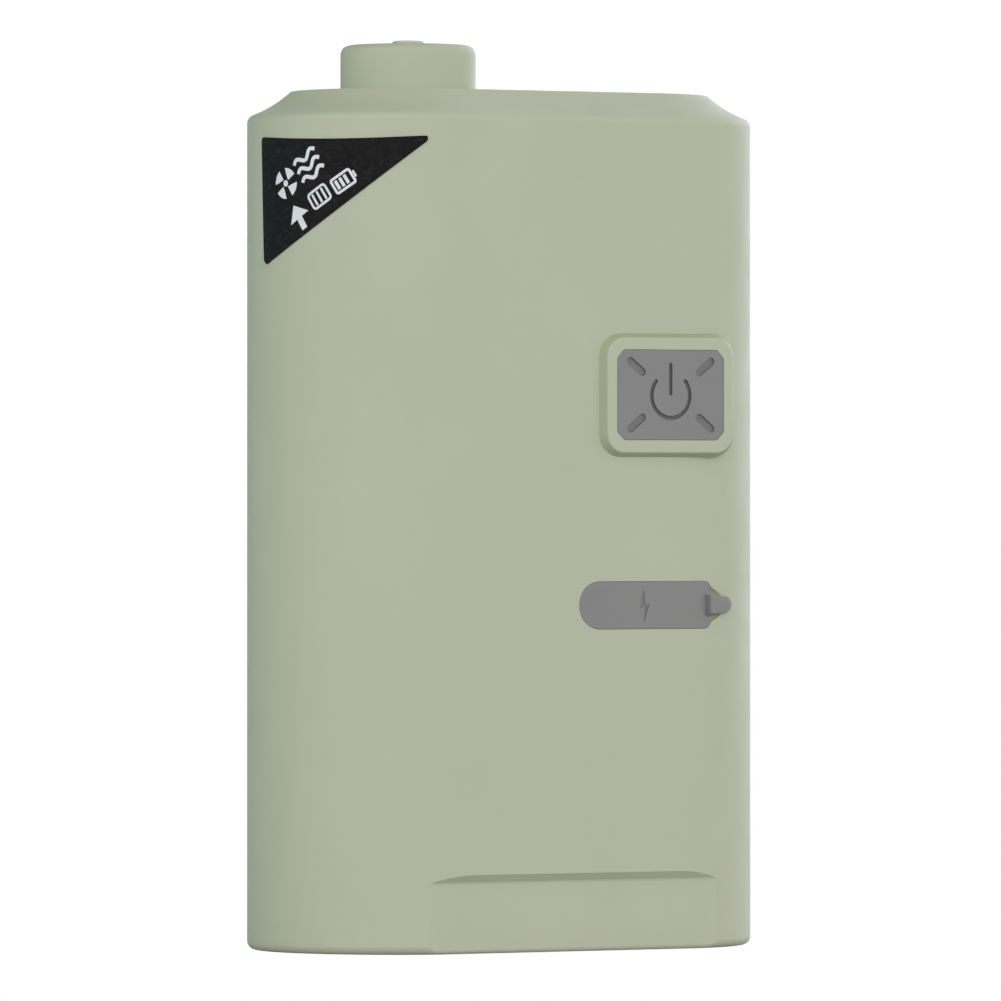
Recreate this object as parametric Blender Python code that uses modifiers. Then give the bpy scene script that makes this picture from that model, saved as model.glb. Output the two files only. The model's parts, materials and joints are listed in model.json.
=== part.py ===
"""Cordless air mattress pump: a sage green upright casing with an obround plan, an outlet nozzle on
top, a suction collar in the base, a push button and a rubber charging-port cover on the front, and a
fan unit, two battery cells and a control board inside.

Metres, +Z up. The origin is on the base's flat face, below the centre of the casing's plan.
The front, with the button, faces -Y, and the nozzle stands towards -X.
"""

import math

import bmesh
import bpy
from mathutils import Matrix, Vector

# --------------------------------------------------------------------------- driving dimensions

BODY_LENGTH = 0.102  # along X
BODY_DEPTH = 0.057  # along Y, and the diameter of the round ends
BODY_HEIGHT = 0.1619  # base to the flat top
WALL = 0.0026
GAP = 0.0003  # left between pieces that touch

BASE_FILLET = 0.0013
SHOULDER_FILLET = 0.0024  # from the upright wall into the sloping shoulder
SHOULDER_SWEEP = 0.019  # hollow radius of the shoulder's slope
SHOULDER_LOW, SHOULDER_HIGH = math.radians(21.5), math.radians(43)  # its slope at each end
RIM_FILLET = 0.0015  # from the slope into the flat top

RECESS_DEPTH = 0.0014  # shallow step low on the front
RECESS_TOP = 0.0134

FAN_X = -0.0203  # the fan unit, the nozzle and the suction collar share this upright axis
NOZZLE_RADIUS = 0.0128
NOZZLE_BORE = 0.0103
NOZZLE_TOP = 0.1707
NOZZLE_FILLET = 0.0017
PIN_RADIUS = 0.00305
PIN_TOP = 0.1717

BUTTON_X, BUTTON_Z = 0.0195, 0.10465
BUTTON_SIZE = (0.0234, 0.0168)
BUTTON_CORNER = 0.00165
BUTTON_TRAVEL = 0.0008
PLATEAU_SIZE = (0.0281, 0.0220)
PLATEAU_SHIFT = (-0.0001, -0.0001)  # its middle, from the button's
PLATEAU_CORNER = 0.0037
PLATEAU_HEIGHT = 0.0015
PLATEAU_SLOPE = 0.0009  # how far its sides spread on the way down

COVER_Z = 0.0650
COVER_LEFT, COVER_RIGHT = 0.0003, 0.0300
COVER_HEIGHT = 0.0090
COVER_CORNER = 0.0016
COVER_THICK = 0.0013
COVER_HINGE_X = 0.0072
TAB_RIGHT = 0.0354
TAB_HEIGHT = 0.0034
TAB_RAISE = 0.0012
SCOOP_DEPTH = 0.0013
SCOOP_END = 0.0330
SCOOP_OUTLINE = [(0.0290, -0.0036), (SCOOP_END, -0.0020), (SCOOP_END, 0.0020), (0.0290, 0.0036)]
PORT_X = 0.0206

LABEL_ARC = (176.1, 251.6)  # degrees about the left end's centre, from +X towards +Y
LABEL_FACING = 239  # the direction its slanted edge looks straight from
LABEL_TOP, LABEL_DROP = 0.1528, 0.0239
LABEL_TIP = 0.0008  # height of its blunt far corner

CELL_RADIUS, CELL_LENGTH = 0.0092, 0.065
CELL_X = (0.0146, 0.0334)
CELL_Y = 0.0108
CELL_Z = 0.0190

BOARD_FRONT = -0.0178
BOARD_THICK = 0.0016
BOARD_X = (0.0055, 0.0395)
BOARD_Z = (0.0480, 0.1220)

# --------------------------------------------------------------------------- worked out from them

END_RADIUS = BODY_DEPTH / 2
END_X = BODY_LENGTH / 2 - END_RADIUS  # centres of the two round ends
FRONT_Y = -END_RADIUS
TURN_TO_FRONT = (math.pi / 2, 0, 0)  # local X, Y, Z become X, Z and -Y, so local Z points out

# --------------------------------------------------------------------------- scene and materials


def clear_scene():
    for obj in list(bpy.data.objects):
        bpy.data.objects.remove(obj, do_unlink=True)


def new_collection(name):
    collection = bpy.data.collections.new(name)
    bpy.context.scene.collection.children.link(collection)
    return collection


def material(name, rgb, roughness, metallic=0.0):
    made = bpy.data.materials.new(name)
    made.use_nodes = True
    shader = made.node_tree.nodes["Principled BSDF"]
    shader.inputs["Base Color"].default_value = (*rgb, 1.0)
    shader.inputs["Roughness"].default_value = roughness
    shader.inputs["Metallic"].default_value = metallic
    return made


clear_scene()
PUMP = new_collection("air_mattress_pump")
CUTTERS = new_collection("cutters")

SAGE = material("sage_plastic", (0.44, 0.47, 0.35), 0.55)
GREY_RUBBER = material("grey_rubber", (0.22, 0.22, 0.22), 0.70)
PALE_PLASTIC = material("pale_grey_plastic", (0.52, 0.52, 0.54), 0.45)
BLACK_FILM = material("black_film", (0.012, 0.012, 0.013), 0.35)
DARK_PLASTIC = material("dark_plastic", (0.05, 0.05, 0.055), 0.50)
NATURAL_PLASTIC = material("natural_plastic", (0.60, 0.60, 0.56), 0.50)
SEAL_RUBBER = material("seal_rubber", (0.03, 0.03, 0.03), 0.80)
STEEL = material("steel", (0.55, 0.55, 0.56), 0.35, 1.0)
NICKEL = material("nickel", (0.62, 0.60, 0.56), 0.30, 1.0)
BOARD_GREEN = material("board_green", (0.02, 0.16, 0.07), 0.45)
CELL_WRAP = material("cell_wrap", (0.03, 0.16, 0.42), 0.40)
LED_CLEAR = material("led_clear", (0.80, 0.82, 0.80), 0.25)
RED_WIRE = material("red_wire", (0.50, 0.02, 0.02), 0.50)
BLACK_WIRE = material("black_wire", (0.02, 0.02, 0.02), 0.50)

# --------------------------------------------------------------------------- making and joining


def place(name, data, mat, parent=None, location=(0, 0, 0), turn=(0, 0, 0)):
    """An object for this mesh or curve: a piece if it has a material, and a cutter if it has none."""
    obj = bpy.data.objects.new(name, data)
    obj.location = location
    obj.rotation_euler = turn
    if mat is None:
        CUTTERS.objects.link(obj)
        obj.hide_render = True
        obj.display_type = "WIRE"
        return obj
    PUMP.objects.link(obj)
    obj.parent = parent
    if not data.materials:
        data.materials.append(mat)
    return obj


def mesh_of(name, bm):
    bmesh.ops.recalc_face_normals(bm, faces=bm.faces)
    mesh = bpy.data.meshes.new(name)
    bm.to_mesh(mesh)
    bm.free()
    mesh.shade_smooth()
    mesh.set_sharp_from_angle(angle=math.radians(35))
    return mesh


def boolean(obj, other, operation):
    modifier = obj.modifiers.new(f"{operation.lower()} {other.name}", "BOOLEAN")
    modifier.operation = operation
    modifier.solver = "EXACT"
    modifier.object = other
    return obj


def cut(obj, *cutters):
    for cutter in cutters:
        boolean(obj, cutter, "DIFFERENCE")
    return obj


def join(obj, *others):
    """Adds helper solids, which are made without a material, to a piece."""
    for other in others:
        boolean(obj, other, "UNION")
    return obj


def box(name, low, high, mat=None, **where):
    bm = bmesh.new()
    size = [b - a for a, b in zip(low, high)]
    middle = [(a + b) / 2 for a, b in zip(low, high)]
    bmesh.ops.create_cube(bm, size=1, matrix=Matrix.Translation(middle) @ Matrix.Diagonal((*size, 1)))
    return place(name, mesh_of(name, bm), mat, **where)


def cylinder(name, radius, low, high, mat=None, sides=20, centre=(0, 0), top_radius=None, **where):
    """A round bar or cone from low to high along local Z."""
    bm = bmesh.new()
    middle = Matrix.Translation((*centre, (low + high) / 2))
    end_radius = radius if top_radius is None else top_radius
    bmesh.ops.create_cone(
        bm,
        cap_ends=True,
        segments=sides,
        radius1=radius,
        radius2=end_radius,
        depth=high - low,
        matrix=middle,
    )
    return place(name, mesh_of(name, bm), mat, **where)


def turned(name, profile, mat=None, steps=28, **where):
    """A shape turned about local Z. The profile is (radius, height) points. It runs out from the axis
    and down the outer side, and one that doesn't start on the axis is a closed ring."""
    mesh = bpy.data.meshes.new(name)
    ring = profile[0][0] > 0
    edges = [(i, i + 1) for i in range(len(profile) - 1)]
    if ring:
        edges.append((len(profile) - 1, 0))
    mesh.from_pydata([(r, 0, z) for r, z in profile], edges, [])
    obj = place(name, mesh, mat, **where)
    screw = obj.modifiers.new("turn", "SCREW")
    screw.axis = "Z"
    screw.steps = screw.render_steps = steps
    screw.use_merge_vertices = True
    screw.merge_threshold = 1e-5
    screw.use_smooth_shade = True
    return obj


def prism(name, outline, low, high, mat=None, **where):
    """A flat outline in local X and Y, thick from low to high along local Z."""
    bm = bmesh.new()
    face = bm.faces.new([bm.verts.new((x, y, low)) for x, y in outline])
    raised = bmesh.ops.extrude_face_region(bm, geom=[face])["geom"]
    moved = [v for v in raised if isinstance(v, bmesh.types.BMVert)]
    bmesh.ops.translate(bm, verts=moved, vec=(0, 0, high - low))
    return place(name, mesh_of(name, bm), mat, **where)


def loft(name, sections, mat=None, **where):
    """A solid through sections, each (outline, height), bridged in turn and capped at both ends."""
    bm = bmesh.new()
    rings = []
    for outline, z in sections:
        verts = [bm.verts.new((x, y, z)) for x, y in outline]
        rings.append([bm.edges.new((verts[i - 1], verts[i])) for i in range(len(verts))])
    for low, high in zip(rings, rings[1:]):
        bmesh.ops.bridge_loops(bm, edges=low + high)
    for end in (rings[0], rings[-1]):
        bmesh.ops.contextual_create(bm, geom=end)
    return place(name, mesh_of(name, bm), mat, **where)


def wire(name, points, radius, mat):
    """An insulated lead: a round tube through a smooth curve that passes through the points."""
    curve = bpy.data.curves.new(name, "CURVE")
    curve.dimensions = "3D"
    curve.bevel_depth = radius
    curve.bevel_resolution = 2
    curve.use_fill_caps = True
    path = smooth_path([Vector(p) for p in points], pieces=4)
    spline = curve.splines.new("POLY")
    spline.points.add(len(path) - 1)
    for point, at in zip(spline.points, path):
        point.co = (*at, 1)
    return place(name, curve, mat, parent=CASING)


def smooth_path(points, pieces):
    """Points along a Catmull-Rom curve through the given ones."""
    ends = [2 * points[0] - points[1], *points, 2 * points[-1] - points[-2]]
    path = []
    for a, b, c, d in zip(ends, ends[1:], ends[2:], ends[3:]):
        for i in range(pieces):
            t = i / pieces
            square, cube = 2 * a - 5 * b + 4 * c - d, 3 * b - a - 3 * c + d
            path.append(0.5 * (2 * b + (c - a) * t + square * t**2 + cube * t**3))
    return [*path, points[-1]]


# --------------------------------------------------------------------------- outlines


def arc(centre, radius, start, end, steps):
    """Points on an arc, with angles in degrees and both ends included."""
    turns = [math.radians(start + (end - start) * i / steps) for i in range(steps + 1)]
    return [(centre[0] + radius * math.cos(a), centre[1] + radius * math.sin(a)) for a in turns]


def obround(half_length, radius, steps=20):
    """An outline with round ends whose centres are half_length each side of the middle."""
    return arc((half_length, 0), radius, -90, 90, steps) + arc((-half_length, 0), radius, 90, 270, steps)


def rounded_rectangle(size, corner, steps=4):
    x, y = size[0] / 2 - corner, size[1] / 2 - corner
    corners = (((x, y), 0), ((-x, y), 90), ((-x, -y), 180), ((x, -y), 270))
    return [p for centre, start in corners for p in arc(centre, corner, start, start + 90, steps)]


def chamfered_rectangle(size, corner):
    x, y = size[0] / 2, size[1] / 2
    near_x, near_y = x - corner, y - corner
    return [
        (x, -near_y), (x, near_y), (near_x, y), (-near_x, y),
        (-x, near_y), (-x, -near_y), (-near_x, -y), (near_x, -y),
    ]  # fmt: skip


def casing_outline(inset):
    return obround(END_X, END_RADIUS - inset)


def bend(start, radius, turn_from, turn_to, steps):
    """Points after start on an arc whose direction turns from one angle to another. A negative
    radius turns the line down, and a positive one turns it up."""
    angles = [turn_from + (turn_to - turn_from) * i / steps for i in range(1, steps + 1)]
    return [
        (
            start[0] + radius * (math.sin(a) - math.sin(turn_from)),
            start[1] + radius * (math.cos(turn_from) - math.cos(a)),
        )
        for a in angles
    ]


def shoulder_profile():
    """(inset, height) from the top of the upright wall, over the hollow slope, to the flat top."""
    upright = math.radians(90)
    line = [(0.0, 0.0)]
    line += bend(line[-1], -SHOULDER_FILLET, upright, SHOULDER_LOW, 3)
    line += bend(line[-1], SHOULDER_SWEEP, SHOULDER_LOW, SHOULDER_HIGH, 3)
    line += bend(line[-1], -RIM_FILLET, SHOULDER_HIGH, 0, 2)
    start = BODY_HEIGHT - line[-1][1]
    return [(inset, start + rise) for inset, rise in line]


# --------------------------------------------------------------------------- bodies


def empty(name, location, parent=None):
    obj = bpy.data.objects.new(name, None)
    obj.location = location
    obj.parent = parent
    PUMP.objects.link(obj)
    return obj


CASING = empty("casing", (0, 0, 0))
FAN_AXIS = empty("fan_axis", (FAN_X, 0, 0), CASING)
BUTTON_AXIS = empty("button_axis", (BUTTON_X, FRONT_Y, BUTTON_Z), CASING)
COVER_AXIS = empty("cover_axis", (COVER_HINGE_X, FRONT_Y, COVER_Z), CASING)

# --------------------------------------------------------------------------- main housing

SCREW_PLACES = [(sx * 0.0377, sy * 0.0153) for sx in (-1, 1) for sy in (-1, 1)]
SCREW_SHANK, SCREW_HEAD = 0.0012, 0.0027
BOSS_RADIUS, BOSS_TOP = 0.0032, 0.0125
STANDOFFS = [(0.0100, 0.0830), (0.0300, 0.0830)]
STANDOFF_RADIUS = 0.0026


def casing_block():
    fillet = [
        (BASE_FILLET * (1 - math.sin(a)), BASE_FILLET * (1 - math.cos(a)))
        for a in (0, math.radians(45), math.radians(90))
    ]
    profile = fillet + shoulder_profile()
    return loft("main_housing", [(casing_outline(inset), z) for inset, z in profile], SAGE, parent=CASING)


def casing_cavity():
    top = shoulder_profile()
    slope_start, slope_end = top[0], top[-1]
    sections = [
        (casing_outline(WALL), -0.002),
        (casing_outline(WALL), slope_start[1] - 0.0004),
        (casing_outline(slope_end[0] + WALL), BODY_HEIGHT - WALL),
    ]
    return loft("casing_cavity", sections)


def plateau():
    """The raised flat frame round the button, run down into the round end's falling surface."""
    foot_size = [side + 2 * PLATEAU_SLOPE for side in PLATEAU_SIZE]
    foot = rounded_rectangle(foot_size, PLATEAU_CORNER + PLATEAU_SLOPE)
    top = rounded_rectangle(PLATEAU_SIZE, PLATEAU_CORNER)
    sections = [(foot, -0.0032), (foot, 0), (top, PLATEAU_HEIGHT)]
    across, up = PLATEAU_SHIFT
    middle = BUTTON_AXIS.location + Vector((across, 0, up))
    return loft("plateau", sections, location=middle, turn=TURN_TO_FRONT)


def core(name, inset):
    """The casing's plan, drawn in by inset and taller than the cover, which curves front pieces."""
    return prism(name, casing_outline(inset), 0.050, 0.080)


def cover_outline(grow=0.0):
    """The rubber cover in X and Z about its middle height, with a round left end."""
    radius = COVER_HEIGHT / 2 + grow
    corner = COVER_CORNER + grow
    right = COVER_RIGHT + grow - corner
    up = radius - corner
    return (
        arc((COVER_LEFT + COVER_HEIGHT / 2, 0), radius, 90, 270, 12)
        + arc((right, -up), corner, 270, 360, 4)
        + arc((right, up), corner, 0, 90, 4)
    )


def housing_cutters():
    at_button = {"location": BUTTON_AXIS.location, "turn": TURN_TO_FRONT}
    at_cover = {"location": (0, FRONT_Y, COVER_Z), "turn": TURN_TO_FRONT}
    pocket = prism("cover_pocket", cover_outline(GAP), -0.012, 0.003, **at_cover)
    scoop = prism("thumb_scoop", SCOOP_OUTLINE, -0.012, 0.003, **at_cover)
    window = [side + 2 * GAP for side in BUTTON_SIZE]
    port = [(PORT_X + x, y) for x, y in obround(0.0026, 0.0032, 6)]
    button_room = (0.0266, 0.0199)
    low = -0.002
    recess = [
        (FRONT_Y + RECESS_DEPTH, low),
        (FRONT_Y + RECESS_DEPTH, RECESS_TOP),
        (FRONT_Y - 0.002, RECESS_TOP + RECESS_DEPTH + 0.002),
        (FRONT_Y - 0.002, low),
    ]
    cover_stem = COVER_LEFT + COVER_HEIGHT / 2
    cutters = [
        cylinder("nozzle_hole", NOZZLE_RADIUS + GAP, 0.150, 0.170, sides=28, location=(FAN_X, 0, 0)),
        prism("button_window", chamfered_rectangle(window, BUTTON_CORNER), -0.008, 0.003, **at_button),
        prism("button_room", rounded_rectangle(button_room, 0.001, 1), -0.012, -WALL, **at_button),
        cut(pocket, core("pocket_core", COVER_THICK + GAP)),
        cut(scoop, core("scoop_core", SCOOP_DEPTH)),
        prism("port_hole", port, -0.006, 0, **at_cover),
        cylinder("cover_stem_hole", 0.0016, -0.006, 0, sides=12, centre=(cover_stem, 0), **at_cover),
        prism("front_recess", recess, -0.046, 0.046, turn=(math.pi / 2, 0, math.pi / 2)),
    ]
    for i, spot in enumerate(SCREW_PLACES):
        pilot = SCREW_SHANK + GAP, low, BOSS_TOP - 0.0015
        cutters.append(cylinder(f"boss_pilot_{i}", *pilot, sides=10, centre=spot))
    for i, (x, z) in enumerate(STANDOFFS):
        where = {"location": (x, BOARD_FRONT, z), "turn": TURN_TO_FRONT}
        cutters.append(cylinder(f"standoff_pilot_{i}", 0.0013, -0.001, 0.0038, sides=10, **where))
    return cutters


def housing_bosses():
    """Screw bosses on ribs for the base plate, and standoffs for the board, all part of the shell."""
    added = []
    foot = WALL + GAP
    for i, (x, y) in enumerate(SCREW_PLACES):
        outward = Vector((x - math.copysign(END_X, x), y)).normalized()
        rib = box(f"boss_rib_{i}", (0, -0.0008, foot), (0.0052, 0.0008, BOSS_TOP), location=(x, y, 0))
        rib.rotation_euler.z = math.atan2(outward.y, outward.x)
        added += [rib, cylinder(f"boss_{i}", BOSS_RADIUS, foot, BOSS_TOP, sides=14, centre=(x, y))]
    for i, (x, z) in enumerate(STANDOFFS):
        where = {"location": (x, BOARD_FRONT, z), "turn": TURN_TO_FRONT}
        added.append(cylinder(f"standoff_{i}", STANDOFF_RADIUS, GAP, 0.0083, sides=12, **where))
    return added


housing = casing_block()
cut(housing, casing_cavity())
join(housing, plateau(), *housing_bosses())
cut(housing, *housing_cutters())

# --------------------------------------------------------------------------- front pieces


def power_button():
    """A stiff rubber cap flush with its frame, with a flange behind the wall and a stem."""
    outline = chamfered_rectangle(BUTTON_SIZE, BUTTON_CORNER)
    flange_outline = rounded_rectangle([side + 0.0022 for side in BUTTON_SIZE], 0.001, 1)
    cap_back = -WALL - 0.0006
    where = {"parent": BUTTON_AXIS, "turn": TURN_TO_FRONT}
    cap = prism("power_button", outline, cap_back, PLATEAU_HEIGHT, GREY_RUBBER, **where)
    at_button = {"location": BUTTON_AXIS.location, "turn": TURN_TO_FRONT}
    flange = prism("button_flange", flange_outline, -0.0039, -WALL - GAP, **at_button)
    stem = cylinder("button_stem", 0.0015, -0.0056, -0.0036, sides=12, **at_button)
    return join(cap, flange, stem)


def tact_switch():
    """The switch behind the button: its body on the board, and the plunger that the stem pushes."""
    where = {"parent": BUTTON_AXIS, "turn": TURN_TO_FRONT}
    at_button = {"location": BUTTON_AXIS.location, "turn": TURN_TO_FRONT}
    back = FRONT_Y - BOARD_FRONT + GAP
    body = box("switch_body", (-0.003, -0.003, back), (0.003, 0.003, -0.0072), DARK_PLASTIC, **where)
    cut(body, cylinder("switch_bore", 0.0019, -0.0092, -0.006, sides=12, **at_button))
    cylinder("switch_plunger", 0.0016, -0.0081, -0.0059, PALE_PLASTIC, sides=12, **where)


def port_cover():
    """The rubber cover: a fixed round end with a stem, and the flap that swings on a thin hinge."""
    front = {"location": (0, FRONT_Y, COVER_Z), "turn": TURN_TO_FRONT}
    outline = [(x - COVER_HINGE_X, y) for x, y in cover_outline()]
    flap = prism("port_cover", outline, -0.006, 0.003, GREY_RUBBER, parent=COVER_AXIS, turn=TURN_TO_FRONT)
    reach = 0.01
    hinge_gap = COVER_HINGE_X - GAP / 2, COVER_HINGE_X + GAP / 2
    left = box("left_of_hinge", (-reach, -reach, -reach), (hinge_gap[1], reach, reach), **front)
    outside, inside = core("cover_outside", 0), core("cover_inside", COVER_THICK)
    boolean(flap, outside, "INTERSECT")
    cut(flap, inside, left)
    tab_left = COVER_RIGHT - 0.0007
    tab_round = TAB_HEIGHT / 2 - 0.0001
    tab_outline = [(tab_left, TAB_HEIGHT / 2), (tab_left, -TAB_HEIGHT / 2)]
    tab_outline += arc((TAB_RIGHT - tab_round, 0), tab_round, -90, 90, 8)
    tab = prism("cover_tab", tab_outline, -0.006, 0.004, **front)
    boolean(tab, core("tab_outside", -TAB_RAISE), "INTERSECT")
    past_scoop = box("past_scoop", (SCOOP_END - 0.0010, -reach, -reach), (0.05, reach, reach), **front)
    boolean(past_scoop, core("past_scoop_core", -GAP), "INTERSECT")
    cut(tab, core("tab_inside", 0.0005), past_scoop)
    plug = [(PORT_X + x, y) for x, y in obround(0.0022, 0.0028, 6)]
    join(flap, tab, prism("cover_plug", plug, -0.0033, -0.0008, **front))

    anchor = prism("cover_anchor", cover_outline(), -COVER_THICK, 0, GREY_RUBBER, parent=CASING, **front)
    cut(anchor, box("right_of_hinge", (hinge_gap[0], -reach, -reach), (0.05, reach, reach), **front))
    stem = {"sides": 12, "centre": (COVER_LEFT + COVER_HEIGHT / 2, 0), **front}
    join(
        anchor,
        cylinder("anchor_stem", 0.0013, -0.0036, -0.0010, **stem),
        cylinder("anchor_bulb", 0.0012, -0.0052, -0.0033, top_radius=0.0021, **stem),
    )


def corner_label():
    """A thin black film, three-cornered, wrapped round the left end below the shoulder. Its slanted
    edge lies in one flat plane, which LABEL_FACING lies in too."""
    edge = arc((-END_X, 0), END_RADIUS + GAP / 2, *LABEL_ARC, 14)
    facing = math.radians(LABEL_FACING)
    across = [y * math.cos(facing) - x * math.sin(facing) for x, y in edge]
    bm = bmesh.new()
    pairs = []
    for (x, y), reach in zip(edge, across):
        share = (reach - across[0]) / (across[-1] - across[0])
        foot = LABEL_TOP - LABEL_DROP + (LABEL_DROP - LABEL_TIP) * share
        pairs.append((bm.verts.new((x, y, LABEL_TOP)), bm.verts.new((x, y, foot))))
    for (a, b), (c, d) in zip(pairs, pairs[1:]):
        bm.faces.new((a, b, d, c))
    label = place("corner_label", mesh_of("corner_label", bm), BLACK_FILM, parent=CASING)
    film = label.modifiers.new("film", "SOLIDIFY")
    film.thickness = 0.0001
    film.offset = 1
    return label


power_button()
tact_switch()
port_cover()
corner_label()

# --------------------------------------------------------------------------- base


WELL_RADIUS, WELL_WALL = 0.0180, 0.0018
WELL_FLOOR = 0.0094
AIRWAY = 0.0106


def base_plate():
    """The flat base, with a round hole under the suction cup and countersunk screw holes."""
    plate = prism("base_plate", obround(END_X, END_RADIUS - WALL - 0.00025), 0, WALL, SAGE, parent=CASING)
    cut(plate, cylinder("cup_hole", WELL_RADIUS, -0.001, 0.004, sides=36, location=(FAN_X, 0, 0)))
    for i, place_xy in enumerate(SCREW_PLACES):
        cut(
            plate,
            cylinder(f"head_room_{i}", SCREW_HEAD + 0.0004, -0.001, 0.0016, sides=14, centre=place_xy),
            cylinder(f"shank_room_{i}", SCREW_SHANK + 0.0004, -0.001, 0.004, sides=10, centre=place_xy),
        )
    return plate


def suction_cup():
    """A cup that stands on the base plate over its hole, with an airway in its floor."""
    outer, low, high = WELL_RADIUS + WELL_WALL, WALL + GAP, WELL_FLOOR + WELL_WALL
    profile = [
        (outer, high),
        (outer, low),
        (WELL_RADIUS, low),
        (WELL_RADIUS, WELL_FLOOR),
        (AIRWAY, WELL_FLOOR),
        (AIRWAY, high),
    ]
    turned("suction_cup", profile, SAGE, steps=36, parent=CASING, location=(FAN_X, 0, 0))


def suction_collar():
    """The same collar as the nozzle's, hung in the cup so that the pump still stands flat."""
    low, seat = 0.0006, WELL_FLOOR - GAP
    turned(
        "suction_collar",
        [
            (0.0168, seat),
            (0.0168, seat - 0.0015),
            (NOZZLE_RADIUS, seat - 0.0015),
            (NOZZLE_RADIUS, low + 0.0008),
            (NOZZLE_RADIUS - 0.0008, low),
            (NOZZLE_BORE, low),
            (NOZZLE_BORE, seat),
        ],
        SAGE,
        parent=CASING,
        location=(FAN_X, 0, 0),
    )


def suction_grille():
    """Two rings on four bars, set back inside the suction collar."""
    low, high = 0.0052, 0.0068
    at_fan = {"location": (FAN_X, 0, 0)}
    outer = NOZZLE_BORE - GAP
    grille = turned(
        "suction_grille",
        [(outer, high), (outer, low), (outer - 0.0014, low), (outer - 0.0014, high)],
        SAGE,
        steps=24,
        parent=CASING,
        **at_fan,
    )
    inner_ring = [(0.0054, high), (0.0054, low), (0.0042, low), (0.0042, high)]
    join(grille, turned("grille_inner_ring", inner_ring, steps=20, **at_fan))
    reach = outer - 0.0006
    bar_low, bar_high = (-reach, -0.0006, low + 0.0002), (reach, 0.0006, high - 0.0002)
    for i, angle in enumerate((0, 45, 90, 135)):
        bar = box(f"grille_bar_{i}", bar_low, bar_high, **at_fan)
        bar.rotation_euler.z = math.radians(angle)
        join(grille, bar)


def screw_mesh(name, head, shank, length, head_height):
    """A pan-head screw standing on its head, with the tip up. Copies share the mesh."""
    bm = bmesh.new()
    bmesh.ops.create_cone(
        bm, cap_ends=True, segments=14, radius1=head * 0.82, radius2=head, depth=head_height,
        matrix=Matrix.Translation((0, 0, head_height / 2)),
    )  # fmt: skip
    top = max(bm.faces, key=lambda f: f.calc_center_median().z)
    bmesh.ops.inset_region(bm, faces=[top], thickness=head - shank, depth=0)
    shaft = bmesh.ops.extrude_face_region(bm, geom=[top])["geom"]
    verts = [v for v in shaft if isinstance(v, bmesh.types.BMVert)]
    bmesh.ops.delete(bm, geom=[top], context="FACES_ONLY")
    bmesh.ops.translate(bm, verts=verts, vec=(0, 0, length))
    return mesh_of(name, bm)


def base_screws():
    mesh = screw_mesh("base_screw", SCREW_HEAD, SCREW_SHANK, 0.0090, 0.0012)
    for i, (x, y) in enumerate(SCREW_PLACES):
        place(f"base_screw_{i + 1}", mesh, STEEL, parent=CASING, location=(x, y, 0.0001))


base_plate()
suction_cup()
suction_collar()
suction_grille()
base_screws()

# --------------------------------------------------------------------------- nozzle

CEILING = BODY_HEIGHT - WALL
FLANGE_LOW = 0.1570


def nozzle_collar():
    """The outlet nozzle, put in from inside: its flange bears on the ceiling."""
    fillet = (NOZZLE_RADIUS - NOZZLE_FILLET, NOZZLE_TOP - NOZZLE_FILLET)
    corner = arc(fillet, NOZZLE_FILLET, 90, 0, 3)
    profile = [
        *corner,
        (NOZZLE_RADIUS, CEILING - GAP),
        (0.0160, CEILING - GAP),
        (0.0160, FLANGE_LOW),
        (NOZZLE_BORE, FLANGE_LOW),
        (NOZZLE_BORE, NOZZLE_TOP - 0.0005),
        (NOZZLE_BORE + 0.0005, NOZZLE_TOP),
    ]
    turned("nozzle_collar", profile, SAGE, parent=CASING, location=(FAN_X, 0, 0))


def valve_pin():
    """The post that pushes a mattress valve open, on four arms inside the nozzle."""
    low, arm_top = 0.1585, 0.1610
    outer = NOZZLE_BORE - GAP
    at_fan = {"location": (FAN_X, 0, 0)}
    edge = 0.0006
    post = [
        (0, PIN_TOP),
        (PIN_RADIUS - edge, PIN_TOP),
        (PIN_RADIUS, PIN_TOP - edge),
        (PIN_RADIUS, low),
        (0, low),
    ]
    pin = turned("valve_pin", post, PALE_PLASTIC, steps=20, parent=CASING, **at_fan)
    ring = [(outer, arm_top), (outer, low), (outer - 0.0012, low), (outer - 0.0012, arm_top)]
    join(pin, turned("pin_ring", ring, steps=24, **at_fan))
    reach = outer - 0.0006
    bar_low, bar_high = (-reach, -0.0007, low + 0.0004), (reach, 0.0007, arm_top - 0.0003)
    for i, angle in enumerate((45, 135)):
        arm = box(f"pin_arm_{i}", bar_low, bar_high, **at_fan)
        arm.rotation_euler.z = math.radians(angle)
        join(pin, arm)


nozzle_collar()
valve_pin()

# --------------------------------------------------------------------------- fan unit

DUCT_RADIUS, DUCT_WALL = 0.0230, 0.0018
DUCT_JOINT = 0.0840
SOCKET_RADIUS = 0.0247
DUCT_FOOT = 0.0135
CONE_START, CONE_TOP = 0.1080, 0.1530
MOTOR_RADIUS = 0.0139
MOTOR_LOW, MOTOR_HIGH = 0.0340, 0.0720
SHAFT_RADIUS = 0.00115
MOTOR_SCREW_Y = (-0.0080, 0.0080)
TERMINAL_Y = 0.0080
IMPELLER_LOW, IMPELLER_HIGH = 0.0800, 0.0915
IMPELLER_TIP, HUB_RADIUS = 0.0202, 0.0090
STATOR_LOW, STATOR_HIGH = 0.0945, 0.1060
LEAD_HOLE_Z = 0.0300
AT_FAN = {"location": (FAN_X, 0, 0)}
AT_LEAD_HOLE = {"location": (FAN_X, 0, LEAD_HOLE_Z), "turn": (0, math.pi / 2, 0)}


def gasket(name, inner, outer, low, high):
    profile = [(outer, high), (outer, low), (inner, low), (inner, high)]
    turned(name, profile, SEAL_RUBBER, steps=24, parent=CASING, location=(FAN_X, 0, 0))


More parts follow.
